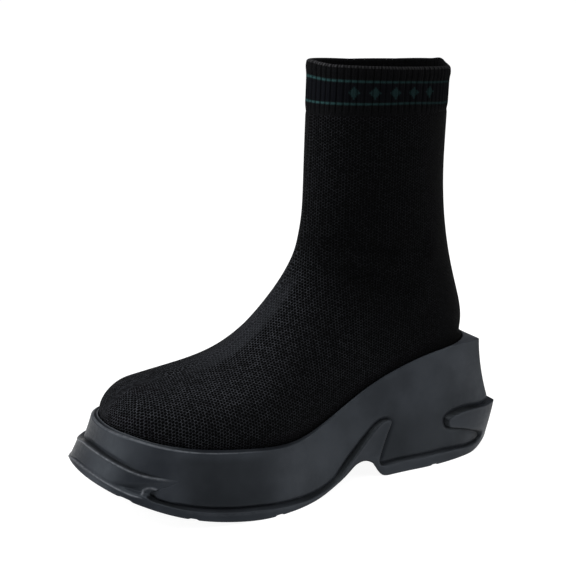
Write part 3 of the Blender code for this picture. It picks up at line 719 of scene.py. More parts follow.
def make_piece(name, points, face_groups, material, node, charts=None, layers=None):
    """A smooth mesh piece from points in millimetres, of which it keeps those that its faces use.

    Charts are UV maps, and layers are numbers at the points.
    """
    mesh = bpy.data.meshes.new(name)
    face_groups = [np.asarray(group, np.int32) for group in face_groups]
    sizes = np.concatenate([np.full(len(group), group.shape[1], np.int32) for group in face_groups])
    corners = np.concatenate([group.ravel() for group in face_groups])
    used, corners = np.unique(corners, return_inverse=True)
    placed = (np.asarray(points, float)[used] - CENTRE) * MM
    mesh.vertices.add(len(placed))
    mesh.vertices.foreach_set("co", placed.astype(np.float32).ravel())
    mesh.loops.add(len(corners))
    mesh.loops.foreach_set("vertex_index", corners.astype(np.int32))
    mesh.polygons.add(len(sizes))
    mesh.polygons.foreach_set("loop_start", np.concatenate([[0], np.cumsum(sizes)[:-1]]).astype(np.int32))
    mesh.polygons.foreach_set("loop_total", sizes)
    mesh.update(calc_edges=True)
    mesh.shade_smooth()
    for chart, places in (charts or {}).items():
        layer = mesh.uv_layers.new(name=chart)
        layer.uv.foreach_set("vector", np.asarray(places, np.float32)[used][corners].ravel())
    for layer_name, values in (layers or {}).items():
        layer = mesh.attributes.new(layer_name, "FLOAT", "POINT")
        layer.data.foreach_set("value", np.asarray(values, np.float32).ravel()[used])
    mesh.materials.append(material)
    piece = bpy.data.objects.new(name, mesh)
    bpy.context.scene.collection.objects.link(piece)
    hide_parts(node)
    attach(piece, "root")
    return piece


# Sole: places on the unrolled side


def side_run():
    """Along one side of the sole: how far x runs against the length of the wall."""
    turn = np.linspace(0, np.pi, 1201)
    plan = sole_side(turn, np.full_like(turn, 0.3), np.zeros_like(turn))[:, :2]
    run = np.concatenate([[0], np.cumsum(np.linalg.norm(np.diff(plan, axis=0), axis=1))])
    return turn, np.maximum.accumulate(plan[:, 0]), run


RUN_TURN, RUN_X, RUN_LENGTH = side_run()


def rubber_outline():
    """The rubber's edge as a closed outline on the unrolled side."""
    edge = rounded(RUBBER_EDGE)
    run = np.interp(edge[:, 0], RUN_X, RUN_LENGTH)
    keep = (edge[:, 0] > RUN_X[0]) & (edge[:, 0] < RUN_X[-1])
    flat = np.column_stack([run, edge[:, 1]])[keep]
    first = -RUBBER_BEYOND
    last = RUN_LENGTH[-1] + RUBBER_BEYOND
    ends = (first, RUBBER_BELOW), (first, flat[0, 1]), (last, flat[-1, 1]), (last, RUBBER_BELOW)
    return np.array([*ends[:2], *flat, *ends[2:]])


def line_distance(places, line):
    """Distance to a line through points."""
    best = np.full(len(places), 1e9)
    for a, b in zip(line, line[1:]):
        step = b - a
        share = np.clip(((places - a) @ step) / max(step @ step, 1e-9), 0, 1)
        best = np.minimum(best, np.linalg.norm(places - a - share[:, None] * step, axis=1))
    return best


def outline_distance(places, outline):
    """Signed distance to a closed outline, below zero inside."""
    best = line_distance(places, np.concatenate([outline, outline[:1]]))
    inside = np.zeros(len(places), bool)
    for a, b in zip(outline, np.roll(outline, -1, axis=0)):
        step = b - a
        crossing = (a[1] > places[:, 1]) != (b[1] > places[:, 1])
        if a[1] != b[1]:
            inside ^= crossing & (places[:, 0] < a[0] + (places[:, 1] - a[1]) * step[0] / step[1])
    return np.where(inside, -best, best)


def side_places(turn, points):
    """Run along the wall and height for points of the side. Both sides run from heel to toe."""
    mirrored = np.where(turn <= np.pi, turn, 2 * np.pi - turn)
    run = np.interp(mirrored, RUN_TURN, RUN_LENGTH)
    return np.stack([np.broadcast_to(run, points.shape[:-1]), points[..., 2]], -1)


def lug_relief(x, y):
    """Height of the grooves between the lugs above the tread."""
    rise = np.zeros(np.broadcast(x, y).shape)
    for groove_x, width, depth, half, slant in LUG_GROOVES:
        across = np.abs(x - groove_x - np.tan(np.radians(slant)) * y)
        trench = 1 - soft_step(width / 2 - 0.9, width / 2 + 0.9, across)
        rise = np.maximum(rise, depth * trench * (1 - soft_step(half - 1.5, half + 1.5, np.abs(y))))
    return rise


def arch_rise(x):
    """Height of the arch notch above the tread line."""
    return np.where((x > ARCH_START) & (x < ARCH_END), ARCH["rise"](x), 0.0)


def level_shares(turn, levels, lift, lugs):
    """Shares of the side for rows of levels, from the tread with its arch and grooves to the rim."""
    zero = np.zeros_like(turn)
    ends = sole_side(turn, zero, zero)
    tops = sole_side(turn, zero + 1, zero)
    rise = arch_rise(ends[:, 0]) + lift
    if lugs:
        rise = rise + LUG_EDGE * lug_relief(ends[:, 0], ends[:, 1])
    lowest = rise / (tops[:, 2] - ends[:, 2])
    return lowest[None, :] + (1 - lowest[None, :]) * levels[:, None]


OUTLINE = rubber_outline()


def leaning(line, z):
    """Place x at a height on a leaning line, given by its x at a height and its slope."""
    x, height, slope = line
    return x + (z - height) * slope


def fin_slope(at):
    """The fin stands out along its front edge and sinks into the foam towards its back edge."""
    x = at["x"]
    back = leaning(FIN_BACK, at["z"])
    front = leaning(FIN_FRONT, at["z"])
    share = np.clip((x - back) / np.maximum(front - back, 4.0), 0, 1)
    near = mark("fin_slope", at) * (x < FIN_REACH[1]) * (x > FIN_REACH[0])
    return 1 - near * (1 - FIN_LOW) * (1 - share)


def rubber_proud(turn):
    """How far the rubber stands proud of the foam. At the heel it follows the curve from the corner."""
    half = np.minimum(turn, 2 * np.pi - turn)
    k = np.clip((half - HEEL_CORNER_TURN) / (HEEL_SIDE_TURN - HEEL_CORNER_TURN), 0, 1)
    side_x = foot_outline(np.float64(HEEL_SIDE_TURN))[0]
    corner_share = (1 - k)**2
    at_heel = SIDE["proud"](HEEL_X) * corner_share + SIDE["proud"](side_x) * (1 - corner_share)
    return np.where(half < HEEL_SIDE_TURN, at_heel, SIDE["proud"](foot_outline(turn)[..., 0]))


def side_fields(turn, share):
    """Fields at points of the side: place, and distances to the rubber's edge and to the toe's lines."""
    plain = sole_side(turn, share, np.zeros_like(share))
    places = side_places(turn, plain)
    x = np.interp(places[..., 0], RUN_LENGTH, RUN_X)
    z = plain[..., 2]
    past_tip = soft_step(np.pi - 0.05, np.pi + 0.2, turn) * soft_step(250, 266, x)
    places[..., 1] += TOE_DROOP * past_tip
    over_top = places[..., 1] - TOE_TOP["z"](x)
    flat = places.reshape(-1, 2)
    hook = rounded(TOE_HOOK)
    hook[:, 0] = np.interp(hook[:, 0], RUN_X, RUN_LENGTH)
    slot_run = np.interp(SLOT_END[0], RUN_X, RUN_LENGTH)
    seam = np.interp(z, (SEAM_LOW[1], SEAM_HIGH[1]), (SEAM_LOW[0], SEAM_HIGH[0]))
    return {
        "x": x,
        "z": z,
        "over_tread": z - z[:1],
        "under_top": z[-1:] - z,
        "distance": outline_distance(flat, OUTLINE).reshape(share.shape),
        "hook": line_distance(flat, hook).reshape(share.shape),
        "slot": np.hypot(places[..., 0] - slot_run, z - SLOT_END[1]),
        "over_ridge": places[..., 1] - TOE_RIDGE["z"](x),
        "over_top": over_top,
        "above_top": np.maximum(over_top, 0),
        "past_seam": x - seam,
        "fin_edge": x - leaning(FIN_EDGE, z),
    }


def rubber_relief(turn, share):
    """How far the rubber stands out from the middle of the side, and the fields of its points."""
    at = side_fields(turn, share)
    proud = rubber_proud(turn) * np.ones_like(share) * fin_slope(at)
    deep = np.clip(-at["distance"] / EDGE_ROUND, 0, 1)
    band = proud * np.sqrt(1 - (1 - deep)**2)
    bumper = proud * mark("bumper", at) + mark("bumper_bead", at) + mark("hook", at)
    relief = band + mark("in_bumper", at) * (bumper - band)
    relief = relief + mark("toe_band", at) + mark("ridge_bead", at) + mark("ridge_groove", at)
    relief = relief - RUBBER_SINK * np.clip(at["distance"] / EDGE_ROUND, 0, 1)
    return relief - edge_round(at["over_tread"], BOTTOM_ROUND), at


def edge_shade(at):
    """How dark the painted shade along the rubber's edge is."""
    shade = EDGE_SHADE
    for name in ("fin_back", "heel_lip", "ledge", "fore_lip"):
        shade = shade * (1 - mark(name, at))
    return shade


def strongest(names, at, *others):
    """The strongest of the named marks and of other layers."""
    return np.maximum.reduce(np.broadcast_arrays(*others, *[mark(name, at) for name in names]))


def make_rubber(material):
    """Rubber unit: lip, toe bumper, arch fin, heel claw and tread in one skin over the foam."""
    turn = np.linspace(0, 2 * np.pi, RUBBER_COLUMNS, endpoint=False)
    levels = np.concatenate([RUBBER_LOW_LEVELS, np.linspace(*RUBBER_HIGH_LEVELS)])
    share = level_shares(turn, levels, 0.0, True)
    relief, at = rubber_relief(turn[None, :], share)
    grid = sole_side(turn[None, :], share, relief)
    numbers = grid_numbers(grid)
    faces = grid_faces(numbers, closed=True)
    faces = faces[at["distance"].ravel()[faces].min(axis=1) < 1.0]

    half = RUBBER_COLUMNS // 2
    outer = grid[0, 1:half]
    inner = grid[0, :half:-1]
    blend = np.linspace(0, 1, TREAD_STEPS + 1)[1:-1, None, None]
    tread = outer * (1 - blend) + inner * blend
    x = tread[..., 0]
    y = tread[..., 1]
    inset = np.minimum(np.abs(y - outer[None, :, 1]), np.abs(y - inner[None, :, 1]))
    lugs = lug_relief(x, y) * (LUG_EDGE + (1 - LUG_EDGE) * soft_step(0.0, 4.0, inset))
    wave = 0.5 + 0.5 * np.cos(2 * np.pi * (x + SIPE_SLANT * np.abs(y + 2)) / SIPE_PITCH)
    sipes = SIPE_DEPTH * soft_step(0.80, 0.97, wave) * soft_step(6.0, 9.0, inset)
    notch_x = x + ARCH_SLANT * np.minimum(inset, ARCH_SLANT_REACH)
    tread[..., 2] = tread_line(x) + arch_rise(notch_x) + np.maximum(lugs, sipes)
    tread_faces = sheet_faces(numbers[0], TREAD_STEPS, grid[..., 0].size, True)
    points = np.concatenate([grid.reshape(-1, 3), tread.reshape(-1, 3)])

    # painted highlights on the bumper's top edge, the toe ridge, the hook and the rubber's edge
    painted_highlight = strongest(("bumper_painted_highlight", "ridge_painted_highlight", "hook_painted_highlight", "edge_painted_highlight"), at)
    # painted shade along the rubber's edge, over the bumper, on the arch's edge and over the tread
    line = edge_shade(at) * mark("rubber_edge", at) * (1 - mark("bumper_end", at))
    shade = strongest(("bumper_shade", "arch_edge"), at, line)
    layers = {"painted_highlight": np.concatenate([painted_highlight.ravel(), np.zeros(x.size)]),
              "shade": np.concatenate([shade.ravel(), np.full(x.size, TREAD_SHADE)])}
    return make_piece("sole_rubber", points, [faces, *tread_faces], material, "outsole", None, layers)


def make_foam(material):
    """Foam platform: side with its grooves along the rubber, rounded rim, cup and floor."""
    turn = np.linspace(0, 2 * np.pi, FOAM_COLUMNS, endpoint=False)
    levels = np.concatenate([np.linspace(*stretch) for stretch in FOAM_LEVELS])
    share = level_shares(turn, levels, FOAM_LIFT, False)
    at = side_fields(turn[None, :], share)
    distance = at["distance"]
    depth = GROOVE_DEPTH
    width = GROOVE_WIDTH
    line_width = GROOVE_LINE
    for name, deeper, wider, darker in GROOVE_MORE:
        depth = depth + deeper * mark(name, at)
        width = width + wider * mark(name, at)
        line_width = line_width + darker * mark(name, at)
    faded = mark("bumper_end", at)
    depth = depth * (1 - faded * (1 - mark("toe_tip", at)))
    relief = mark("slot", at) - depth * bell(np.maximum(distance - GROOVE_GAP, 0), width)
    relief = relief - faded * mark("under_bumper", at)
    relief = relief + mark("under_claw", at) * np.maximum(rubber_proud(turn[None, :]) - SLOT_STEP, 0)
    radius = RIM_ROUND + (RIM_ROUND_TOE - RIM_ROUND) * mark("toe", at)
    relief = relief - edge_round(at["under_top"], radius)
    side = sole_side(turn[None, :], share, relief)

    foot = foot_outline(turn)
    normal = outline_normal(turn)
    inner = np.column_stack([foot + normal * KNIT_GAP, RIM["rim"](foot[:, 0])])
    across = np.linspace(0, 1, RIM_STEPS + 2)[1:-1, None]
    on_rim = {"x": foot[:, 0], "across": across}
    rim = side[-1] * (1 - across[..., None]) + inner * across[..., None]
    rim[..., 2] += mark("rim_bead", on_rim) + mark("rim_groove", on_rim)
    cup = [np.column_stack([foot + normal * out, inner[:, 2] - drop]) for out, drop in CUP_EDGE]
    floor = np.column_stack([foot + normal * CUP_CLEAR, cup_floor(foot[:, 0])])
    skirt = side[:1] * SKIRT_SCALE + (SKIRT_SHIFT, 0.0, SKIRT_RISE)
    rows = np.concatenate([skirt, side, rim, cup, floor[None]])
    numbers = grid_numbers(rows)
    faces = [grid_faces(numbers, closed=True), *sheet_faces(numbers[0], 1, 0, True),
             *sheet_faces(numbers[-1], 1, 0, False)]

    on_side = slice(1, len(side) + 1)
    after_side = slice(len(side) + 1, len(side) + 1 + RIM_STEPS)
    # painted highlights along the top of the side, on the rim's outer and inner edges and on the heel's
    # shelf
    painted_highlight = np.zeros(rows.shape[:2])
    painted_highlight[on_side] = mark("top_painted_highlight", at)
    for name in ("rim_outer_painted_highlight", "rim_inner_painted_highlight", "rim_heel_painted_highlight"):
        painted_highlight[after_side] += mark(name, on_rim)
    # painted shade along the grooves, over the bumper, in the slot and its corner, on the fore wall, on the
    # heel's lower wall and on the rim
    line = edge_shade(at) * bell(np.maximum(distance, 0), line_width)
    line = line * (1 - faded) + mark("over_bumper", at) * faded
    shade = np.zeros(rows.shape[:2])
    shade[on_side] = strongest(("corner", "fore_wall", "low_heel", "slot_shade"), at, line)
    shade[after_side] = mark("rim_groove_shade", on_rim) + mark("rim_shade", on_rim)
    layers = {"painted_highlight": painted_highlight, "shade": shade}
    return make_piece("sole_foam", rows.reshape(-1, 3), faces, material, "midsole", None, layers)


# Upper


def along_at_height(turn, heights):
    """Places along the upper where the columns of the shaft reach the heights, a row for each height."""
    along = np.linspace(SOLE_RUN, SOLE_RUN + BACK_RUN, 240)
    reached = upper_point(along[:, None], turn[None, :])[..., 2]
    return np.stack([np.interp(heights, column, along) for column in reached.T], -1)


def upper_grid(columns, rows, toe_span, top):
    """Places along the upper and points of it, from the toe over the foot and up the shaft."""
    toe_rows, foot_rows, shaft_rows = rows
    turn = np.linspace(0, 1, columns + 1)
    share = np.linspace(*toe_span, toe_rows)
    toe = TOE_BOX_REACH * (1 - (1 - share**TOE_BOX_ROUND)**(1 / TOE_BOX_ROUND))
    foot = np.linspace(toe[-1], SOLE_RUN, foot_rows + 1)[1:]
    fixed = np.concatenate([toe, foot])[:, None] * np.ones_like(turn)
    climb = np.linspace(0, 1, shaft_rows + 1)[1:, None]
    shaft = SOLE_RUN + climb * (along_at_height(turn, [top]) - SOLE_RUN)
    along = np.concatenate([fixed, shaft])
    return along, smooth_ankle(along, turn, upper_point(along, turn[None, :]))


def smooth_ankle(along, turn, grid):
    """Ease the bend between foot and shaft, without moving the lower edge."""
    edge = mark("off_edge", {"turn": np.minimum(turn, 1 - turn)})[None, :]
    edge = np.where(along > SOLE_RUN + ANKLE_SEAM_FROM, np.maximum(edge, ANKLE_SEAM_EASE), edge)
    weight = (mark("ankle_bend", {"along": along}) * edge)[..., None]
    for _ in range(ANKLE_ROUNDS):
        middle = (grid[:-2] + grid[2:]) / 2
        grid[1:-1] += weight[1:-1] * (middle - grid[1:-1])
    return grid


def place_fields(grid):
    """Fields of the upper's points that follow from their places."""
    x, y, z = np.moveaxis(grid, -1, 0)
    return {"x": x, "y": y, "z": z, "outwards": np.abs(y), "over_rim": z - RIM["rim"](x)}


def knit_relief(at):
    """Creases, the flat strip on the vamp and the back seam, in millimetres outwards."""
    x, y, z = at["x"], at["y"], at["z"]
    relief = np.zeros_like(x)
    for side, start_x, start_z, end_x, end_z, depth, width in CREASES:
        line = np.array([(start_x, start_z), (end_x, end_z)], float)
        off = line_distance(np.stack([x, z], -1).reshape(-1, 2), line).reshape(x.shape)
        fold = bell(off, width) - CREASE_BEAD * bell(off - CREASE_BEAD_OUT * width, width)
        relief -= depth * soft_step(4, 16, y * side) * fold
    for name in ("strip_rise", "strip_edge", "under_cuff", "seam_ridges", "seam_groove"):
        relief += mark(name, at)
    waves = np.sin(x / 17 + 1.3) * np.sin(z / 13 + y / 21) + 0.6 * np.sin(x / 9 - z / 23 + y / 15)
    return relief + WAVE_HEIGHT * waves * mark("wavy", at)


def knit_ways(grid):
    """Directions in the knit, forwards along its courses and up its wales, mirrored at the crest."""
    normal = outward_normals(grid)
    normal[0] = (1.0, 0.0, 0.0)
    middle = grid.shape[1] // 2
    side = np.sign(middle - np.arange(grid.shape[1]))
    side = side * np.sign(grid[:, middle // 2, 1].mean())
    forward = np.array([1.0, 0.0, 0.0]) - normal[..., :1] * normal
    level = np.stack([normal[..., 1], -normal[..., 0], np.zeros_like(normal[..., 0])], -1)
    courses = unit(forward + side[None, :, None] * level)
    wales = side[None, :, None] * np.cross(courses, normal)
    for way in (courses, wales):
        way[:, middle] = (way[:, middle - 1] + way[:, middle + 1]) / 2
    return courses, wales


def knit_chart(grid):
    """Places along the courses and up the wales of the knit, in millimetres and evenly spaced."""
    rows = np.unique(np.linspace(0, grid.shape[0] - 1, CHART_ROWS).round().astype(int))
    columns = np.unique(np.linspace(0, grid.shape[1] - 1, CHART_COLUMNS).round().astype(int))
    coarse = grid[rows][:, columns]
    ways = knit_ways(coarse)
    numbers = grid_numbers(coarse)
    system = np.zeros((numbers.size, numbers.size))
    right = np.zeros((numbers.size, 2))
    most = (slice(None, -1), slice(None))
    later = (slice(1, None), slice(None))
    for axis, first, second in ((0, most, later), (1, most[::-1], later[::-1])):
        step = coarse[second] - coarse[first]
        length = np.linalg.norm(step, axis=-1)
        target = np.stack([np.sum(step * (way[first] + way[second]) / 2, -1) for way in ways], -1)
        width = np.linalg.norm(np.gradient(coarse, axis=1 - axis), axis=-1)
        weight = ((width[first] + width[second]) / 2 / np.maximum(length, 0.3)).ravel()
        a = numbers[first].ravel()
        b = numbers[second].ravel()
        for one, other, sign in ((a, a, 1), (b, b, 1), (a, b, -1), (b, a, -1)):
            np.add.at(system, (one, other), sign * weight)
        pull = weight[:, None] * target.reshape(-1, 2)
        np.add.at(right, b, pull)
        np.add.at(right, a, -pull)
    system[np.diag_indices(numbers.size)] += 1e-5
    chart = np.linalg.solve(system, right).reshape(*coarse.shape[:2], 2)
    all_rows = np.arange(grid.shape[0])
    all_columns = np.arange(grid.shape[1])
    wide = np.stack([[np.interp(all_columns, columns, line[:, i]) for line in chart] for i in (0, 1)], -1)
    full = np.stack([[np.interp(all_rows, rows, wide[:, j, i]) for j in all_columns] for i in (0, 1)], -1)
    return np.swapaxes(full, 0, 1)


def make_knit(material):
    """Mesh knit of foot and shaft, tucked into the cup along its lower edge."""
    along, grid = upper_grid(KNIT_COLUMNS, KNIT_ROWS, KNIT_TOE, KNIT_TOP)
    chart = knit_chart(grid)
    steps = np.linalg.norm(np.diff(grid, axis=1), axis=-1)
    arc = np.concatenate([np.zeros((len(grid), 1)), np.cumsum(steps, axis=1)], axis=1)
    normals = outward_normals(grid)
    normals[0] = (1.0, 0.0, 0.0)
    at = {"along": along, "sideways": np.abs(normals[..., 1]), "backwards": -normals[..., 0],
          "from_crest": np.abs(arc - arc[:, KNIT_COLUMNS // 2][:, None]),
          "to_seam": np.minimum(arc, arc[:, -1:] - arc)}
    at.update(place_fields(grid))
    grid = grid + normals * knit_relief(at)[..., None]
    at.update(place_fields(grid))

    def lower_edge(values):
        """Values along the lower edge: the outer side from toe to heel, then the inner side back."""
        last = sum(KNIT_ROWS[:2]) - 1
        return np.concatenate([values[:last + 1, 0], values[last - 1:0:-1, -1]])

    numbers = grid_numbers(grid)
    numbers[0] = numbers[0, 0]
    toe_faces = np.column_stack([numbers[1, :-1], numbers[1, 1:], numbers[0, 1:]])
    ring = lower_edge(numbers)
    edge = lower_edge(grid)
    inwards = unit((np.array(KNIT_MIDDLE) - edge) * (1, 1, 0))
    hems = [edge + inwards * inset - (0, 0, drop) for drop, inset in KNIT_HEM]
    hem_numbers = grid[..., 0].size + np.arange(len(hems) * len(ring)).reshape(len(hems), -1)
    hem_faces = grid_faces(np.concatenate([ring[None], hem_numbers]), closed=True)
    points = np.concatenate([grid.reshape(-1, 3), *hems])
    charts = {"chart": np.concatenate([chart.reshape(-1, 2)] + [lower_edge(chart)] * len(hems))}

    strip = mark("strip", at)
    closed = mark("closed_toe", at)
    # the strip's paler tone and the closed toe's darker tone are the knit's own; the darker ankle and shaft,
    # and the darkening just over the rim, on the sides except towards the toe, and at the back are painted
    # shade
    tone_and_painted_shade = 1.0 + STRIP_TONE * strip - ANKLE_SHADE * mark("ankle", at)
    beside = mark("sideways", at) * (1 - mark("fore_foot", at))
    for shade in (mark("over_rim", at), beside, mark("behind", at), CLOSED_TONE * closed):
        tone_and_painted_shade = tone_and_painted_shade * (1 - shade)
    hole = (1.0 - STRIP_HOLE * strip) * (1 - CLOSED_HOLE * closed)
    layers = {"tone_and_painted_shade": (tone_and_painted_shade, HEM_TONE), "hole": (hole, 1.0), "speck": (1 - STRIP_SPECK * strip, 1.0)}
    layers = {name: np.concatenate([layer.ravel(), np.full(hem_numbers.size, hem)])
              for name, (layer, hem) in layers.items()}
    faces = [grid_faces(numbers[1:]), toe_faces, hem_faces]
    return make_piece("upper_knit", points, faces, material, "upper", charts, layers)


def cuff_layers(place, rib, run, top, normals, groove):
    """Layers of the cuff: teal yarn, painted shade in the grooves and on its side and back, the navy band
    and the pale loops of the hem.
    """
    at = {"x": top[:, 0], "height": run[:, None],
          "sideways": np.abs(normals[:, 1]), "backwards": -normals[:, 0]}
    stripes = 0.0
    for height, half, drop in STRIPES:
        off = np.abs(run[:, None] - height + drop * mark("stripe_drop", at))
        stripes = np.maximum(stripes, soft_step(half + STRIPE_SOFT, half - STRIPE_SOFT, off))
    stripes = stripes * ((1 - mark("stripe_fade", at)) * (1 - STRIPE_GROOVE * groove))
    high, low = [stripe[0] for stripe in STRIPES]
    navy = soft_step(low, low + 2, run) * soft_step(high, high - 2, run)

    repeat = DIAMOND_RIBS * rib
    middle = np.round(place / repeat) * repeat
    column = np.round((place - middle) / STITCH)
    row = np.round((run - (high + low) / 2) / STITCH)
    middle_x, middle_y = [np.interp(middle, place, top[:, axis]) for axis in (0, 1)]
    shown = (middle_y > DIAMOND_SIDE) & (middle_x > DIAMOND_FIRST) & (middle_x < DIAMOND_LAST)
    diamonds = (np.abs(column) + np.abs(row)[:, None] <= DIAMOND_RINGS) & shown

    loops = 0.5 + 0.5 * np.cos(2 * np.pi * place / (rib / 2))
    on_edge = (run >= COLLAR_Z) & (run < COLLAR_Z + HEM_EDGE)
    turned = np.clip(mark("cuff_side", at) + mark("cuff_back", at), 0, 1)
    painted_shade = np.maximum(groove * mark("grow", at), CUFF_SHADE * turned)
    return {"teal": np.maximum(stripes, DIAMOND_TEAL * diamonds), "groove": painted_shade,
            "navy": navy[:, None] * np.ones_like(painted_shade), "edge": on_edge[:, None] * loops}


def make_cuff(material):
    """Ribbed cuff with its rolled hem, two stripes and a row of small diamonds between them."""
    dense = np.linspace(0, 1, 2001)
    middle = upper_point(along_at_height(dense, [CUFF_MIDDLE]), dense)[0]
    arc = np.concatenate([[0], np.cumsum(np.linalg.norm(np.diff(middle, axis=0), axis=1))])
    girth = arc[-1]
    place = np.linspace(0, girth, CUFF_COLUMNS + 1)
    turn = np.interp(place, arc, dense)
    heights = np.linspace(CUFF_LOW, COLLAR_Z - HEM_ROLL, CUFF_ROWS)
    rows = upper_point(along_at_height(turn, heights), turn[None, :])
    across = np.gradient(rows, axis=1)
    normals = unit(np.stack([-across[..., 1], across[..., 0], np.zeros_like(across[..., 0])], -1))
    if np.sum(normals[0, :, 0] * (rows[0, :, 0] - rows[0, :, 0].mean())) < 0:
        normals = -normals

    rib = girth / RIB_COUNT
    wobble = 0.4 * np.sin(place / 6.1) + 0.3 * np.sin(place / 2.7 + 1)
    groove = bell(np.abs(np.mod(place, rib) - rib / 2 + wobble), RIB_GROOVE)
    wales = 0.5 + 0.5 * np.cos(2 * np.pi * WALES_PER_RIB * place / rib)
    at = {"back": np.minimum(place, girth - place), "height": heights[:, None]}
    grow = mark("grow", at)
    ribs = RIB_RISE - RIB_DEPTH * groove - WALE_DEPTH * wales
    seam = mark("cuff_seam_ridges", at) + mark("cuff_seam_groove", at)
    relief = grow * ribs + mark("hem", at) - CUFF_SINK * (1 - grow) + grow * seam
    outside = rows + normals * relief[..., None]
    top = rows[-1].copy()
    tilt = np.interp(top[:, 0], *COLLAR_TILT)
    tilt = tilt + mark("far_side", {"y": top[:, 1]}) * np.interp(top[:, 0], *FAR_TILT)
    outside[..., 2] += mark("tilted", at) * tilt
    top[:, 2] += tilt

    lift = mark("seam_lift", at) + 0.2 * np.sin(place / 23.0)
    inner_ribs = INNER_RIB * groove
    roll = []
    for angle in np.linspace(0, np.pi, HEM_STEPS + 1)[1:]:
        inwards = (1 - np.cos(angle)) / 2
        shift = relief[-1] * (1 - inwards) + (inner_ribs - 2 * HEM_ROLL) * inwards
        row = top + normals[-1] * shift[:, None]
        row[:, 2] += (HEM_ROLL + lift) * np.sin(angle)
        roll.append(row)
    down = np.linspace(COLLAR_Z - HEM_ROLL, CUFF_INSIDE, 16)[1:]
    inside = upper_point(along_at_height(turn, down), turn[None, :])
    inside = inside + normals[-1] * (inner_ribs - 2 * HEM_ROLL)[:, None]
    inside[..., 2] += mark("tilted", {"height": down[:, None]}) * tilt
    grid = np.concatenate([outside, np.array(roll), inside])
    over_hem = np.linspace(0, 5, HEM_STEPS)
    run = np.concatenate([heights, COLLAR_Z + over_hem, COLLAR_Z + 5 + np.linspace(0, 24, 16)[1:]])
    numbers = grid_numbers(grid)
    chart = np.stack(np.broadcast_arrays(place[None, :], run[:, None]), -1).reshape(-1, 2)
    layers = cuff_layers(place, rib, run, top, normals[0], groove)
    return make_piece("upper_cuff", grid.reshape(-1, 3), [grid_faces(numbers)], material, "upper",
                      {"chart": chart}, layers)


def make_lining(material):
    """Inside of the upper, from the insole to the hem."""
    grid = upper_grid(LINING_COLUMNS, LINING_ROWS, LINING_TOE, CUFF_INSIDE + LINING_LAP)[1]
    charts = {"chart": knit_chart(grid).reshape(-1, 2)}
    points = (grid - outward_normals(grid) * KNIT_WALL).reshape(-1, 3)
    numbers = np.arange(len(points)).reshape(grid.shape[:2])
    layers = {name: np.full(len(points), value) for name, value in LINING_LAYERS}
    faces = [grid_faces(numbers)[:, ::-1]]
    return make_piece("upper_lining", points, faces, material, "upper", charts, layers)


def make_insole(material):
    """Thin pad on the floor of the cup, with a rounded edge and a shallow heel seat."""
    turn = np.linspace(0, 2 * np.pi, INSOLE_COLUMNS, endpoint=False)
    half = len(turn) // 2
    foot = foot_outline(turn)
    normal = outline_normal(turn)
    floor = cup_floor(foot[:, 0]) + CUP_CLEAR
    rows = []
    for inset, lift in INSOLE_EDGE:
        plan = foot - normal * (KNIT_WALL + INSOLE_CLEAR + inset)
        rows.append(np.column_stack([plan, floor + lift]))
    rows = np.array(rows)
    numbers = grid_numbers(rows)
    faces = [grid_faces(numbers, closed=True)]
    points = rows.reshape(-1, 3)
    blend = np.linspace(0, 1, INSOLE_STEPS + 1)[1:-1, None, None]
    for row_number, depth, flip in ((0, 0.0, True), (-1, SEAT_DEPTH, False)):
        row = rows[row_number]
        sheet = row[1:half] * (1 - blend) + row[:half:-1] * blend
        sheet[..., 2] -= depth * mark("heel_seat", {"x": sheet[..., 0]}) * np.sin(np.pi * blend[..., 0])
        faces += sheet_faces(numbers[row_number], INSOLE_STEPS, len(points), flip)
        points = np.concatenate([points, sheet.reshape(-1, 3)])
    return make_piece("insole_pad", points, faces, material, "insole")


# Materials


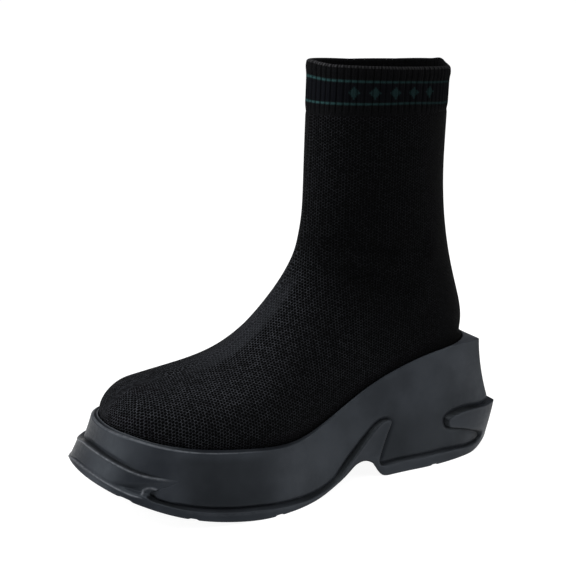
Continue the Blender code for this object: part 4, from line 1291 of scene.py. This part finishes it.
class Nodes:
    """A material's node tree with short calls to add and join nodes."""

    def __init__(self, name):
        self.material = bpy.data.materials.new(name)
        self.material.use_nodes = True
        self.tree = self.material.node_tree
        self.shader = self.tree.nodes["Principled BSDF"]

    def put(self, target, value):
        """Set a socket, or join another node's output to it."""
        if isinstance(value, bpy.types.NodeSocket):
            self.tree.links.new(value, target)
        else:
            target.default_value = value

    def add(self, kind, inputs=None, **settings):
        """A node with its settings and inputs."""
        node = self.tree.nodes.new(kind)
        for key, value in settings.items():
            setattr(node, key, value)
        for key, value in (inputs or {}).items():
            self.put(node.inputs[key], value)
        return node

    def math(self, operation, first, second=0.0):
        """Result of a Math node."""
        return self.add("ShaderNodeMath", {0: first, 1: second}, operation=operation).outputs[0]

    def times(self, first, second):
        """Product of two values."""
        return self.math("MULTIPLY", first, second)

    def plus(self, first, second):
        """Sum of two values."""
        return self.math("ADD", first, second)

    def wave(self, place, pitch):
        """Sine along a place, its pitch in the place's units."""
        return self.math("SINE", self.times(place, 2 * np.pi / pitch))

    def ramp(self, value, low, high, start=0.0, stop=1.0):
        """Smooth change from start to stop as the value goes from low to high."""
        inputs = {"Value": value, "From Min": low, "From Max": high, "To Min": start, "To Max": stop}
        return self.add("ShaderNodeMapRange", inputs, interpolation_type="SMOOTHSTEP").outputs["Result"]

    def layer(self, name):
        """Numbers stored at the mesh's points."""
        return self.add("ShaderNodeAttribute", attribute_name=name).outputs["Fac"]

    def chart(self):
        """The two coordinates of the piece's chart, in millimetres."""
        chart = self.add("ShaderNodeUVMap", uv_map="chart").outputs["UV"]
        parts = self.add("ShaderNodeSeparateXYZ", {0: chart})
        return parts.outputs["X"], parts.outputs["Y"]

    def noise(self, scale, detail=2.0, roughness=0.5):
        """Noise in the row frame, scale in cycles a metre."""
        place = self.add("ShaderNodeTexCoord").outputs["Object"]
        inputs = {"Vector": place, "Scale": scale, "Detail": detail, "Roughness": roughness}
        return self.add("ShaderNodeTexNoise", inputs).outputs["Fac"]

    def mix(self, factor, first, second):
        """Colour between two colours."""
        node = self.add("ShaderNodeMix", data_type="RGBA")
        self.put(node.inputs["Factor"], factor)
        for socket, value in zip([s for s in node.inputs if s.type == "RGBA"], (first, second)):
            self.put(socket, value)
        return [s for s in node.outputs if s.type == "RGBA"][0]

    def bump(self, height, distance, strength=1.0):
        """Bump from a height, distance in millimetres."""
        inputs = {"Height": height, "Distance": distance * MM, "Strength": strength}
        return self.add("ShaderNodeBump", inputs).outputs["Normal"]

    def surface(self, **values):
        """Set or join the shader's own inputs by name."""
        for key, value in values.items():
            self.put(self.shader.inputs[key.replace("_", " ")], value)
        return self.material


# Linear colours
COLOURS = {
    # red, green, blue
    "knit_dark": (0.0106, 0.0113, 0.0131),
    "knit_light": (0.0294, 0.0311, 0.0360),
    "cuff_dark": (0.0022, 0.0023, 0.0027),
    "cuff_light": (0.0062, 0.0064, 0.0072),
    "teal_dark": (0.012, 0.034, 0.035),
    "teal_light": (0.025, 0.064, 0.065),
    "navy": (0.0034, 0.0040, 0.0056),
    "hem": (0.040, 0.040, 0.042),
    # near black of the knit's holes, also used for the painted shade on the cuff
    "hole": (0.0006, 0.0006, 0.0007),
    "foam_dark": (0.0098, 0.0112, 0.0142),
    "foam_light": (0.0200, 0.0225, 0.0272),
    # the _edge colours are painted highlights
    "foam_edge": (0.080, 0.085, 0.094),
    "rubber_dark": (0.0096, 0.0110, 0.0140),
    "rubber_light": (0.0182, 0.0205, 0.0250),
    "rubber_edge": (0.095, 0.100, 0.110),
    # colour of the painted shade
    "sole_shade": (0.0015, 0.0017, 0.0020),
    "sole_gloss": (0.80, 0.91, 1.0),
    "insole_dark": (0.008, 0.008, 0.009),
    "insole_light": (0.020, 0.020, 0.021),
    "floor": (0.20, 0.20, 0.20),
    "glow": (1.0, 1.0, 1.0),
}
YARN_FINISH = {"Roughness": 0.85, "Specular_IOR_Level": 0.02, "Sheen_Weight": 0.004, "Sheen_Roughness": 0.45}
FIBRE = 2600.0          # noise of the yarn, in cycles a metre


def colour(name):
    """A named colour, opaque."""
    return (*COLOURS[name], 1.0)


def knit_material(name):
    """Open mesh knit: rows of small staggered holes between loops of dull yarn."""
    nodes = Nodes(name)
    course, wale = nodes.chart()
    column = nodes.wave(course, KNIT_WIDE)
    mesh = nodes.times(column, nodes.plus(column, nodes.wave(wale, KNIT_TALL)))
    hole = nodes.times(nodes.ramp(mesh, -0.05, 0.45), nodes.layer("hole"))
    fibre = nodes.noise(FIBRE, 3.0)
    height = nodes.plus(nodes.times(hole, -1.0), nodes.times(fibre, 0.35))
    yarn = nodes.mix(nodes.ramp(fibre, 0.3, 0.75), colour("knit_dark"), colour("knit_light"))
    speck = nodes.times(nodes.ramp(nodes.noise(520.0, 1.0), 0.36, 0.64, -0.45, 0.5), nodes.layer("speck"))
    uneven = nodes.times(nodes.ramp(nodes.noise(60.0, 2.0), 0.3, 0.7, 0.9, 1.1), nodes.plus(speck, 1.0))
    # the tone layer holds the knit's own tone and painted shade
    shaded = nodes.add("ShaderNodeVectorMath", {0: yarn}, operation="SCALE")
    nodes.put(shaded.inputs["Scale"], nodes.times(nodes.layer("tone_and_painted_shade"), uneven))
    base = nodes.mix(hole, shaded.outputs[0], colour("hole"))
    return nodes.surface(Base_Color=base, Normal=nodes.bump(height, 0.45), **YARN_FINISH)


def cuff_material(name):
    """Ribbed knit with teal yarn in stripes and stitches."""
    nodes = Nodes(name)
    wale, course = nodes.chart()
    stitch = nodes.times(nodes.wave(wale, STITCH), nodes.wave(course, STITCH))
    fibre = nodes.noise(FIBRE, 3.0)
    height = nodes.plus(nodes.times(stitch, 0.5), nodes.times(fibre, 0.4))
    yarn = nodes.mix(nodes.ramp(fibre, 0.3, 0.75), colour("cuff_dark"), colour("cuff_light"))
    teal = nodes.mix(nodes.ramp(fibre, 0.25, 0.75), colour("teal_dark"), colour("teal_light"))
    tinted = nodes.mix(nodes.layer("navy"), yarn, colour("navy"))
    edged = nodes.mix(nodes.layer("edge"), tinted, colour("hem"))
    mixed = nodes.mix(nodes.layer("teal"), edged, teal)
    # painted shade in the rib grooves and on the cuff's side and back
    base = nodes.mix(nodes.times(nodes.layer("groove"), 0.85), mixed, colour("hole"))
    return nodes.surface(Base_Color=base, Normal=nodes.bump(height, 0.3), **YARN_FINISH)


def sole_material(name, roughness):
    """Moulded skin: fine grain, faint cloudiness, painted highlights along its edges, where it is also
    slightly polished, and painted shade.
    """
    nodes = Nodes(name)
    grain = nodes.noise(2400.0, 3.0)
    cloud = nodes.noise(38.0, 3.0)
    speck = nodes.noise(420.0, 2.0)
    body = nodes.mix(nodes.ramp(cloud, 0.3, 0.7), colour(f"{name}_dark"), colour(f"{name}_light"))
    # painted highlight along edges, also a little less rough there
    painted_highlight = nodes.times(nodes.layer("painted_highlight"), nodes.ramp(speck, 0.3, 0.65, 0.35, 1.0))
    with_painted_highlight = nodes.mix(painted_highlight, body, colour(f"{name}_edge"))
    # painted shade
    base = nodes.mix(nodes.layer("shade"), with_painted_highlight, colour("sole_shade"))
    uneven = nodes.ramp(speck, 0.3, 0.7, roughness - 0.05, roughness + 0.06)
    return nodes.surface(Base_Color=base, Roughness=nodes.plus(uneven, nodes.times(painted_highlight, -0.10)),
                         Specular_IOR_Level=0.16, Specular_Tint=colour("sole_gloss"),
                         Normal=nodes.bump(grain, 0.05))


def insole_material(name):
    """Fine dark textile over thin foam."""
    nodes = Nodes(name)
    weave = nodes.noise(1500.0, 2.0)
    uneven = nodes.ramp(nodes.plus(weave, nodes.noise(70.0, 2.0)), 0.7, 1.3)
    base = nodes.mix(uneven, colour("insole_dark"), colour("insole_light"))
    return nodes.surface(Base_Color=base, Roughness=0.9, Sheen_Weight=0.2, Normal=nodes.bump(weave, 0.2))


# Stage


# Light of the studio dome from the horizon to overhead
DOME = [
    # height of the direction, strength
    (0.0, 0.55),
    (0.06, 0.50),
    (0.16, 0.03),
    (0.50, 0.05),
    (1.0, 0.80),
]

# Soft lights, in metres and watts
LIGHTS = [
    # name, place, size, power
    ("overhead", (0.15, 0.15, 1.5), (1.4, 1.4), 20.0),
    ("toe_side", (1.4, -0.15, 0.7), (0.7, 1.1), 17.0),
    ("heel_side", (-1.1, 0.9, 0.7), (0.6, 1.1), 10.0),
]
LIGHT_AIM = Vector((0.0, 0.0, 0.12))
FLOOR_HALF = 40.0
CAMERA_PLACE = Vector((0.31055, 0.61028, 0.3011))
CAMERA_AIM = Vector((-0.00905, -0.02042, 0.1120))
CAMERA_LENS = 72.1


def aim(thing, target):
    """Turn a light or camera to face a point."""
    thing.rotation_euler = (target - thing.location).to_track_quat("-Z", "Y").to_euler()
    bpy.context.scene.collection.objects.link(thing)


def make_floor():
    """Wide pale floor."""
    mesh = bpy.data.meshes.new("floor")
    corners = [(-1, -1), (1, -1), (1, 1), (-1, 1)]
    mesh.from_pydata([(x * FLOOR_HALF, y * FLOOR_HALF, 0) for x, y in corners], [], [(0, 1, 2, 3)])
    floor = bpy.data.objects.new("floor", mesh)
    bpy.context.scene.collection.objects.link(floor)
    mesh.materials.append(Nodes("floor").surface(Base_Color=colour("floor"), Roughness=0.9,
                                                 Emission_Color=colour("glow"), Emission_Strength=0.93))


def make_dome():
    """Studio dome: a pale horizon, dimmer above it, bright overhead."""
    world = bpy.data.worlds.new("studio")
    world.use_nodes = True
    tree = world.node_tree
    place = tree.nodes.new("ShaderNodeTexCoord")
    parts = tree.nodes.new("ShaderNodeSeparateXYZ")
    ramp = tree.nodes.new("ShaderNodeValToRGB")
    tree.links.new(place.outputs["Generated"], parts.inputs[0])
    tree.links.new(parts.outputs["Z"], ramp.inputs["Fac"])
    tree.links.new(ramp.outputs["Color"], tree.nodes["Background"].inputs["Color"])
    stops = ramp.color_ramp.elements
    while len(stops) < len(DOME):
        stops.new(0.5)
    for stop, (height, strength) in zip(stops, DOME):
        stop.position = height
        stop.color = (strength, strength, strength, 1.0)
    bpy.context.scene.world = world


def make_stage():
    """Pale floor, soft studio light and the camera of the photo."""
    make_floor()
    make_dome()
    for name, place, size, power in LIGHTS:
        data = bpy.data.lights.new(name, "AREA")
        data.shape = "RECTANGLE"
        data.size, data.size_y = size
        data.energy = power
        lamp = bpy.data.objects.new(name, data)
        lamp.location = place
        aim(lamp, LIGHT_AIM)
    data = bpy.data.cameras.new("camera")
    data.sensor_width = 36.0
    data.lens = CAMERA_LENS
    camera = bpy.data.objects.new("camera", data)
    camera.location = CAMERA_PLACE
    aim(camera, CAMERA_AIM)
    bpy.context.scene.camera = camera
    bpy.context.scene.view_settings.view_transform = "Standard"


def main():
    """Build the pieces and the stage."""
    make_knit(knit_material("knit"))
    make_lining(knit_material("lining"))
    make_cuff(cuff_material("cuff"))
    make_foam(sole_material("foam", 0.46))
    make_rubber(sole_material("rubber", 0.44))
    make_insole(insole_material("insole"))
    make_stage()
    bpy.context.view_layer.update()


main()
